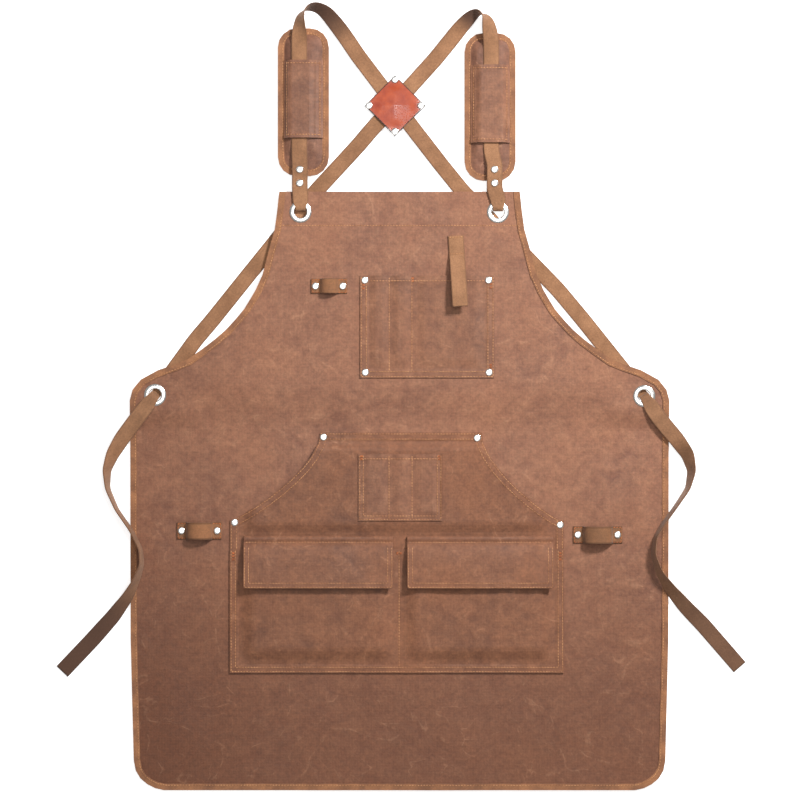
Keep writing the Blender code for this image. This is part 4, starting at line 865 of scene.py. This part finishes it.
for side in ("left", "right"):
    root_low, root_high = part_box(f"flap_seam_{side}")
    low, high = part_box(f"flap_{side}")
    turn_y = root_low[1] - 1.9 * MM
    # From the back of the rolled ridge to the free edge: place down the apron, height of the middle
    profile = [(root_high[1], 5.6), (root_high[1] - 0.5 * MM, 6.9), (root_high[1] - 2 * MM, 7.9),
               (root_high[1] - 4.4 * MM, 8.0), (root_high[1] - 6.4 * MM, 7.3), (root_high[1] - 7.8 * MM, 7.0),
               (turn_y, 8.2), (turn_y - 2 * MM, 9.9), (turn_y - 4.5 * MM, 11.1), (turn_y - 8 * MM, 12.3),
               (turn_y - 12 * MM, 13.3)]
    profile += [(turn_y - 12 * MM - (turn_y - 12 * MM - low[1]) * i / 9, 13.3 + 4.6 * (i / 9) ** 0.7)
                for i in range(1, 10)]
    points = []
    for y, z in profile:
        for column in range(FLAP_COLUMNS + 1):
            across = column / FLAP_COLUMNS
            x = low[0] + (high[0] - low[0]) * across
            loose = min(max((turn_y - y) / (turn_y - low[1]), 0.0), 1.0)
            sway = noise.noise(Vector((x * 26, loose * 1.3, 7.7 if side == "left" else 2.2))) * 1.1 * loose
            points.append((x, y, z * MM + (sway - 0.9 * loose * abs(2 * across - 1) ** 3) * MM + waves(x, y)))
    wide = FLAP_COLUMNS + 1
    faces = [(r * wide + c, (r + 1) * wide + c, (r + 1) * wide + c + 1, r * wide + c + 1)
             for r in range(len(profile) - 1) for c in range(FLAP_COLUMNS)]
    mesh = bpy.data.meshes.new(f"flap_{side}_cloth")
    mesh.from_pydata(points, [], faces)
    mesh.polygons.foreach_set("use_smooth", [True] * len(mesh.polygons))
    flap = set_out(f"flap_{side}_cloth", mesh, PANEL_CANVAS)
    finish_with(flap, "SUBSURF", levels=1, render_levels=1)
    finish_with(flap, "SOLIDIFY", thickness=FLAP_CLOTH, offset=0.0)
    finish_with(flap, "BEVEL", width=0.6 * MM, segments=3, limit_method="ANGLE", angle_limit=1.0)
    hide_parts(f"flap_seam_{side}", f"flap_{side}")
    x0, x1, y0 = low[0], high[0], low[1]
    loose_rows = [[(x0 + d, turn_y - 4 * MM), (x0 + d, y0 + d), (x1 - d, y0 + d), (x1 - d, turn_y - 4 * MM)]
                  for d in (1.6 * MM, 6.8 * MM)]
    sewn(f"flap_{side}_edge_stitching", loose_rows, [flap], f"flap_{side}")
    root_y = root_high[1] - 7.4 * MM
    sewn(f"flap_{side}_root_stitching", [[(x0 + 2 * MM, root_y), (x1 - 2 * MM, root_y)]], [flap], "apron")
    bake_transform(flap)

# ---------------------------------------------------------------- tool loops
# Short lengths of wider webbing, bowed up off the cloth and held at each end by a rivet and a tack,
# so that a handle slides in behind them.

LOOP_FOOT = 7 * MM
for tool in ("screwdriver", "pliers", "hammer"):
    low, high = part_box(f"loop_{tool}")
    middle_x, middle_y = middle_of(f"loop_{tool}")
    half, width = (high[0] - low[0]) / 2, high[1] - low[1]
    inner = middle_of(f"rivet_{tool}_right")[0] - middle_x - LOOP_FOOT
    foot, crown = low[2] + WEBBING / 2, high[2] - WEBBING / 2
    run = [(middle_x - half, foot), (middle_x - inner - 1.4 * MM, foot)]
    for step in range(13):
        turn = math.pi * step / 12
        run.append((middle_x - inner * math.cos(turn),
                    foot + 1.2 * MM + (crown - foot - 1.2 * MM) * math.sin(turn) ** 0.8))
    run += [(middle_x + inner + 1.4 * MM, foot), (middle_x + half, foot)]
    stations = [(Vector((x, middle_y, z)), Vector((0, 1, 0)), width / 2) for x, z in run]
    loop = laid_strip(f"tool_loop_{tool}", eased(stations, 1.5 * MM, 3), WEBBING, STRAP_BACK)
    fitted(loop, "apron", "webbing", f"loop_{tool}")
    tacks = []
    for sign in (-1, 1):
        x = middle_x + sign * (half - 1.6 * MM)
        tacks.append([(x, middle_y - width / 2 + 1 * MM), (x, middle_y + width / 2 - 1 * MM)])
        for edge in (-1, 1):
            y = middle_y + edge * (width / 2 - 1.6 * MM)
            tacks.append([(middle_x + sign * (half - 1 * MM), y), (middle_x + sign * (inner + 1 * MM), y)])
    sewn(f"tool_loop_{tool}_stitching", tacks, [loop], "apron", RUST_THREAD)

# ---------------------------------------------------------------- chest tab
# A doubled length of webbing sewn to the bib above the pocket. Its free part folds down over the
# pocket mouth to hold a tool in, and springs up off the cloth towards its end.

tab_turn = math.radians(3.5)
tab_way = Vector((math.sin(tab_turn), -math.cos(tab_turn), 0))
tab_across = Vector((math.cos(tab_turn), math.sin(tab_turn), 0))
tab_hinge = Vector((73 * MM, 179 * MM, 0))
# Along the tab from its hinge line, and the height of its middle, in millimetres
tab_run = [(-25.5, 8.9), (-3.5, 8.9), (-0.6, 9.6), (1.4, 10.7), (8, 12.9), (16, 15.7), (25, 18.3), (36, 20.5),
           (48, 22.3), (65, 24.1)]
stations = [(tab_hinge + tab_way * reach * MM + Vector((0, 0, z * MM)), tab_across, WEB_HALF)
            for reach, z in tab_run]
tab = laid_strip("chest_tab_webbing", eased(stations, 1.5 * MM, 3), WEBBING * 1.2, WEBBING_CLOTH)
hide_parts("chest_tab_anchor", "chest_tab")


def across_tab(reach):
    """A row of stitching across the tab at a distance in millimetres past its hinge line."""
    centre = tab_hinge + tab_way * reach * MM
    return [tuple((centre + tab_across * side * 9 * MM)[:2]) for side in (-1, 1)]


sewn("chest_tab_stitching", [across_tab(-23.5), across_tab(-2.4)], [tab], "apron")
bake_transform(tab)

# ---------------------------------------------------------------- shoulder pads
# A foam pad in canvas, bound round its edge with the same tape. The strap runs over it through a
# flat sleeve, and the pad slides along the strap to sit on the shoulder.

# The sleeve bellies out over the strap, so it covers a little more of the pad than its plain solid
SLEEVE_EASE = 1.1
CORNER_RADIUS = 23 * MM
# The cushion from its base up: how far in from the pad's edge, and at what height, in millimetres
CUSHION_LEVELS = [(0.4, 1.3), (0.0, 2.0), (0.4, 3.4), (6.0, 4.2), (9.0, 5.0), (13.0, 7.0), (17.0, 8.1),
                  (24.0, 8.5)]
for side in ("left", "right"):
    body = f"pad_{side}"
    low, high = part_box(f"pad_{side}_cover")
    bm = bmesh.new()
    rings = []
    for inward, z in CUSHION_LEVELS:
        thin = 1.0 + 1.7 * min(inward / 17.0, 1.0) * (inward > 5)
        x0, x1 = low[0] + inward * MM, high[0] - inward * MM
        y0, y1 = low[1] + inward * MM * thin, high[1] - inward * MM
        radius = max(CORNER_RADIUS - inward * MM, 6 * MM)
        ring = []
        for quarter, (cx, cy) in enumerate(((x1 - radius, y1 - radius), (x0 + radius, y1 - radius),
                                            (x0 + radius, y0 + radius), (x1 - radius, y0 + radius))):
            for step in range(9):
                angle = math.pi / 2 * (quarter + step / 8)
                ring.append(bm.verts.new((cx + radius * math.cos(angle),
                                          cy + radius * math.sin(angle), z * MM)))
        rings.append(ring)
    for ring, after in zip(rings, rings[1:]):
        for i in range(len(ring)):
            j = (i + 1) % len(ring)
            bm.faces.new((ring[i], ring[j], after[j], after[i]))
    bm.faces.new(rings[0][::-1])
    bm.faces.new(rings[-1])
    mesh = bpy.data.meshes.new(f"pad_{side}_cushion")
    bm.to_mesh(mesh)
    bm.free()
    cushion = set_out(f"pad_{side}_cushion", mesh, PAD_CANVAS)
    finish_with(cushion, "REMESH", mode="VOXEL", voxel_size=2.4 * MM)
    before = [v.co.copy() for v in cushion.data.vertices]
    cloth = cushion.modifiers.new("cloth", "CLOTH")
    cloth.settings.use_pressure = True
    cloth.settings.uniform_pressure_force = 3.0
    cloth.settings.effector_weights.gravity = 0.0
    cloth.settings.quality = 5
    cloth.collision_settings.use_collision = False
    for step in range(1, 13):
        bpy.context.scene.frame_set(step)
    take_up(cushion)
    bpy.ops.object.modifier_apply(modifier="cloth")
    bpy.context.scene.frame_set(1)
    for vert, rest in zip(cushion.data.vertices, before):
        moved = vert.co - rest
        near_edge = min(rest.x - low[0], high[0] - rest.x, rest.y - low[1], high[1] - rest.y)
        cap = 0.9 * MM * min(max((near_edge - 7 * MM) / (6 * MM), 0.0), 1.0)
        if moved.length > cap:
            moved = moved.normalized() * cap
        vert.co = rest + moved
        vert.co.z = max(vert.co.z, 1.2 * MM)
    for vert in cushion.data.vertices:
        x, y, z = vert.co
        near_edge = min(x - low[0], high[0] - x, y - low[1], high[1] - y)
        soft = between(near_edge, 8 * MM, 15 * MM) * between(z, 3.5 * MM, 5 * MM)
        crumple = abs(noise.noise(Vector((x * 75 + y * 18, y * 58 - x * 15, 5.3 if side == "left" else 9.1))))
        vert.co.z = z - 2.2 * MM * soft * max(0.0, 0.24 - crumple)
    finish_with(cushion, "SUBSURF", levels=1, render_levels=1)
    cushion.data.polygons.foreach_set("use_smooth", [True] * len(cushion.data.polygons))
    fitted(cushion, body, "canvas", f"pad_{side}_cover", f"pad_{side}_foam", f"pad_{side}_base")
    tape = cloth_cut(f"pad_{side}_binding", f"pad_{side}_tape", 4 * MM, BINDING_TAPE, lie=False)
    rounded(tape, 0.6 * MM, 2)
    fitted(tape, body, "binding", f"pad_{side}_binding")
    s_low, s_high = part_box(f"pad_{side}_sleeve")
    sleeve = cloth_cut(f"pad_{side}_sleeve", f"pad_{side}_sleeve_cloth", 3 * MM, POCKET_CANVAS, lie=False,
                       relief=lambda x, y: (turned_edge(s_low, s_high, 5 * MM, 0.35 * MM)(x, y)
                                            + 1.8 * MM * (1 - between(y, s_low[1], s_low[1] + 12 * MM))))
    sleeve_x = middle_of(f"pad_{side}_sleeve")[0]
    for vert in sleeve.data.vertices:
        vert.co.x = sleeve_x + (vert.co.x - sleeve_x) * SLEEVE_EASE
    fitted(sleeve, body, "canvas", f"pad_{side}_sleeve")
    edge = outline_of(f"pad_{side}_binding")
    sewn(f"pad_{side}_binding_stitching", [walked(edge + edge[:1], 6.3 * MM)], [tape, cushion], body)
    x0, x1 = s_low[0] + 1.6 * MM, s_high[0] - 1.6 * MM
    rows = [[(x, s_low[1] + 2 * MM), (x, s_high[1] - 2 * MM)] for x in (x0, x1)]
    rows += [[(x0, y), (x1, y)] for y in (s_low[1] + 4 * MM, s_high[1] - 4 * MM)]
    sewn(f"pad_{side}_sleeve_stitching", rows, [sleeve], body)

# ---------------------------------------------------------------- leather keeper
# Two squares of oiled harness leather set on their corners and riveted through, one over and one
# under the crossing of the straps. It slides on them. Its edges are burnished, and the band round
# them is painted near black, partly burnish and partly painted shade of the thick plate's edge.


def oiled_leather(name, middle, reach):
    """Vegetable-tanned leather: a warm tan that shines from oil, pebbled grain, a burnished edge painted near
    black, partly as shade.
    """
    material, tree, shader = new_material(name, 0.34)
    place = add_node(tree, "TexCoord")
    flat = add_node(tree, "Mapping", {"Vector": place.outputs["Object"],
                                      "Location": (-middle[0], -middle[1], 0)})
    parts = add_node(tree, "SeparateXYZ", {0: flat.outputs[0]})
    side = add_node(tree, "Math", {0: parts.outputs[0]}, operation="ABSOLUTE")
    rise = add_node(tree, "Math", {0: parts.outputs[1]}, operation="ABSOLUTE")
    out = add_node(tree, "Math", {0: side.outputs[0], 1: rise.outputs[0]}, operation="ADD")
    rub = add_node(tree, "TexNoise", {"Vector": place.outputs["Object"], "Scale": 90.0, "Detail": 4.0})
    # The edge band is burnished leather darkened to near black as painted shade of the plate's edge
    edge_burnish_and_shade = add_node(tree, "MapRange", {"Value": out.outputs[0], "From Min": reach - 2.6 * MM,
                                            "From Max": reach - 1.3 * MM})
    cloudy = add_node(tree, "MapRange", {"Value": rub.outputs["Fac"], "From Min": 0.32, "From Max": 0.68})
    tan = add_node(tree, "Mix", {0: cloudy.outputs[0], 6: colour("8E3216"), 7: colour("A8461F")},
                   data_type="RGBA")
    edged = add_node(tree, "Mix", {0: edge_burnish_and_shade.outputs[0], 6: tan.outputs[2], 7: colour("1C0A06")},
                     data_type="RGBA")
    tree.links.new(edged.outputs[2], shader.inputs["Base Color"])
    grain = add_node(tree, "TexVoronoi", {"Vector": place.outputs["Object"], "Scale": 620.0})
    bump = add_node(tree, "Bump", {"Height": grain.outputs["Distance"], "Strength": 0.25, "Distance": 0.0003})
    wave = add_node(tree, "Bump", {"Height": rub.outputs["Fac"], "Strength": 0.35, "Distance": 0.0012,
                                   "Normal": bump.outputs[0]})
    tree.links.new(wave.outputs[0], shader.inputs["Normal"])
    shader.inputs["Specular IOR Level"].default_value = 0.12
    shader.inputs["Coat Weight"].default_value = 0.35
    shader.inputs["Coat Roughness"].default_value = 0.16
    return material


low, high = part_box("keeper_front")
keeper_middle = middle_of("keeper_front")
keeper_reach = (high[0] - low[0]) / 2
LEATHER = oiled_leather("oiled_harness_leather", keeper_middle, keeper_reach)
keeper_rivets = [middle_of(f"rivet_keeper_{corner}") for corner in ("left", "right", "top", "bottom")]


def keeper_relief(x, y):
    """Domed over the crossing and dished round its rivets."""
    out = (abs(x - keeper_middle[0]) + abs(y - keeper_middle[1])) / keeper_reach
    near = min((x - a) ** 2 + (y - b) ** 2 for a, b in keeper_rivets) ** 0.5
    held = min(max((near - 5 * MM) / (9 * MM), 0.0), 1.0)
    return (1.1 * MM * max(0.0, 1 - out) + 0.1 * MM) * held


for face in ("front", "back"):
    plate = cloth_cut(f"keeper_{face}", f"keeper_{face}_leather", 2.5 * MM, LEATHER, lie=False,
                      relief=keeper_relief if face == "front" else None)
    rounded(plate, 0.5 * MM, 3)
    fitted(plate, "keeper", "leather", f"keeper_{face}")

# ---------------------------------------------------------------- grommets
# Two-part nickel-plated brass eyelets, 28 mm across: a rolled ring in front, a washer behind and a
# barrel through the cloth, pressed so that the front swells between its inner and outer rims.


def plated_metal(name):
    """Nickel on brass: bright and mirror-like, with a few fine scuffs from use."""
    material, tree, shader = new_material(name, 0.2, 1.0)
    place = add_node(tree, "TexCoord")
    scuffs = add_node(tree, "TexNoise", {"Vector": place.outputs["Object"], "Scale": 300.0, "Detail": 4.0})
    tone = add_node(tree, "Mix", {0: scuffs.outputs["Fac"], 6: colour("EDEBE6"), 7: colour("FBFAF8")},
                    data_type="RGBA")
    tree.links.new(tone.outputs[2], shader.inputs["Base Color"])
    rough = add_node(tree, "MapRange", {"Value": scuffs.outputs["Fac"], "From Min": 0.3, "From Max": 0.7,
                                        "To Min": 0.14, "To Max": 0.3})
    tree.links.new(rough.outputs[0], shader.inputs["Roughness"])
    bump = add_node(tree, "Bump", {"Height": scuffs.outputs["Fac"], "Strength": 0.12, "Distance": 0.0002})
    tree.links.new(bump.outputs[0], shader.inputs["Normal"])
    return material


NICKEL = plated_metal("nickel_plated_brass")


def spun(name, profile, steps, place):
    """Spins a profile of radius and height round an upright axis into a closed smooth piece."""
    mesh = bpy.data.meshes.new(name)
    mesh.from_pydata([(r, 0, z) for r, z in profile], [(i, i + 1) for i in range(len(profile) - 1)], [])
    piece = set_out(name, mesh, NICKEL)
    take_up(piece)
    bpy.ops.object.mode_set(mode="EDIT")
    bpy.ops.mesh.select_all(action="SELECT")
    bpy.ops.mesh.spin(steps=steps, angle=2 * math.pi, center=(0, 0, 0), axis=(0, 0, 1))
    bpy.ops.mesh.select_all(action="SELECT")
    bpy.ops.mesh.remove_doubles(threshold=1e-6)
    bpy.ops.mesh.normals_make_consistent(inside=False)
    bpy.ops.mesh.select_all(action="DESELECT")
    bpy.ops.object.mode_set(mode="OBJECT")
    bpy.ops.object.shade_smooth_by_angle(angle=0.9)
    mesh.transform(Matrix.Translation((*place, 0)))
    return piece


EYE_RADIUS = 7.8 * MM
RING_THICKNESS = 1.2 * MM
for node in [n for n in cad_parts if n.startswith("grommet_")]:
    low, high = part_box(node)
    inner, outer, top, bottom = EYE_RADIUS, (high[0] - low[0]) / 2, high[2], low[2]
    flange = top - RING_THICKNESS
    profile = [(inner, bottom + 0.3 * MM), (inner, flange), (inner + 0.3 * MM, top - 0.35 * MM),
               (inner + 1.0 * MM, top - 0.08 * MM), (inner + 2.2 * MM, top),
               (outer - 2.4 * MM, top - 0.1 * MM), (outer - 0.9 * MM, top - 0.45 * MM),
               (outer - 0.15 * MM, top - 0.9 * MM), (outer, flange + 0.1 * MM),
               (outer - 0.2 * MM, flange), (inner + 0.7 * MM, flange), (inner + 0.7 * MM, bottom + 1.0 * MM),
               (outer - 0.2 * MM, bottom + 1.0 * MM), (outer, bottom + 0.6 * MM), (outer - 0.4 * MM, bottom),
               (inner + 0.6 * MM, bottom), (inner, bottom + 0.3 * MM)]
    fitted(spun(node.replace("grommet", "eyelet"), profile, 56, middle_of(node)), "apron", "nickel", node)

# ---------------------------------------------------------------- rivets
# Double-cap rivets, 9.4 mm across, nickel plated. The cap is a shallow dome with a tight rolled rim
# that bites a little into the cloth.

CAP_RADIUS = 4.7 * MM
for node in [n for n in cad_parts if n.startswith("rivet_")]:
    low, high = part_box(node)
    top, bottom = high[2], low[2]
    profile = [(0.0, top), (1.8 * MM, top - 0.03 * MM), (3.2 * MM, top - 0.13 * MM),
               (4.1 * MM, top - 0.34 * MM), (4.55 * MM, top - 0.75 * MM),
               (CAP_RADIUS, top - 1.2 * MM), (4.45 * MM, top - 1.5 * MM),
               (1.3 * MM, top - 1.5 * MM), (1.3 * MM, bottom + 0.8 * MM), (4.0 * MM, bottom + 0.8 * MM),
               (4.2 * MM, bottom + 0.45 * MM), (3.6 * MM, bottom + 0.05 * MM), (0.0, bottom)]
    body = "keeper" if node.startswith("rivet_keeper") else "apron"
    fitted(spun(node + "_cap", profile, 28, middle_of(node)), body, "nickel", node)
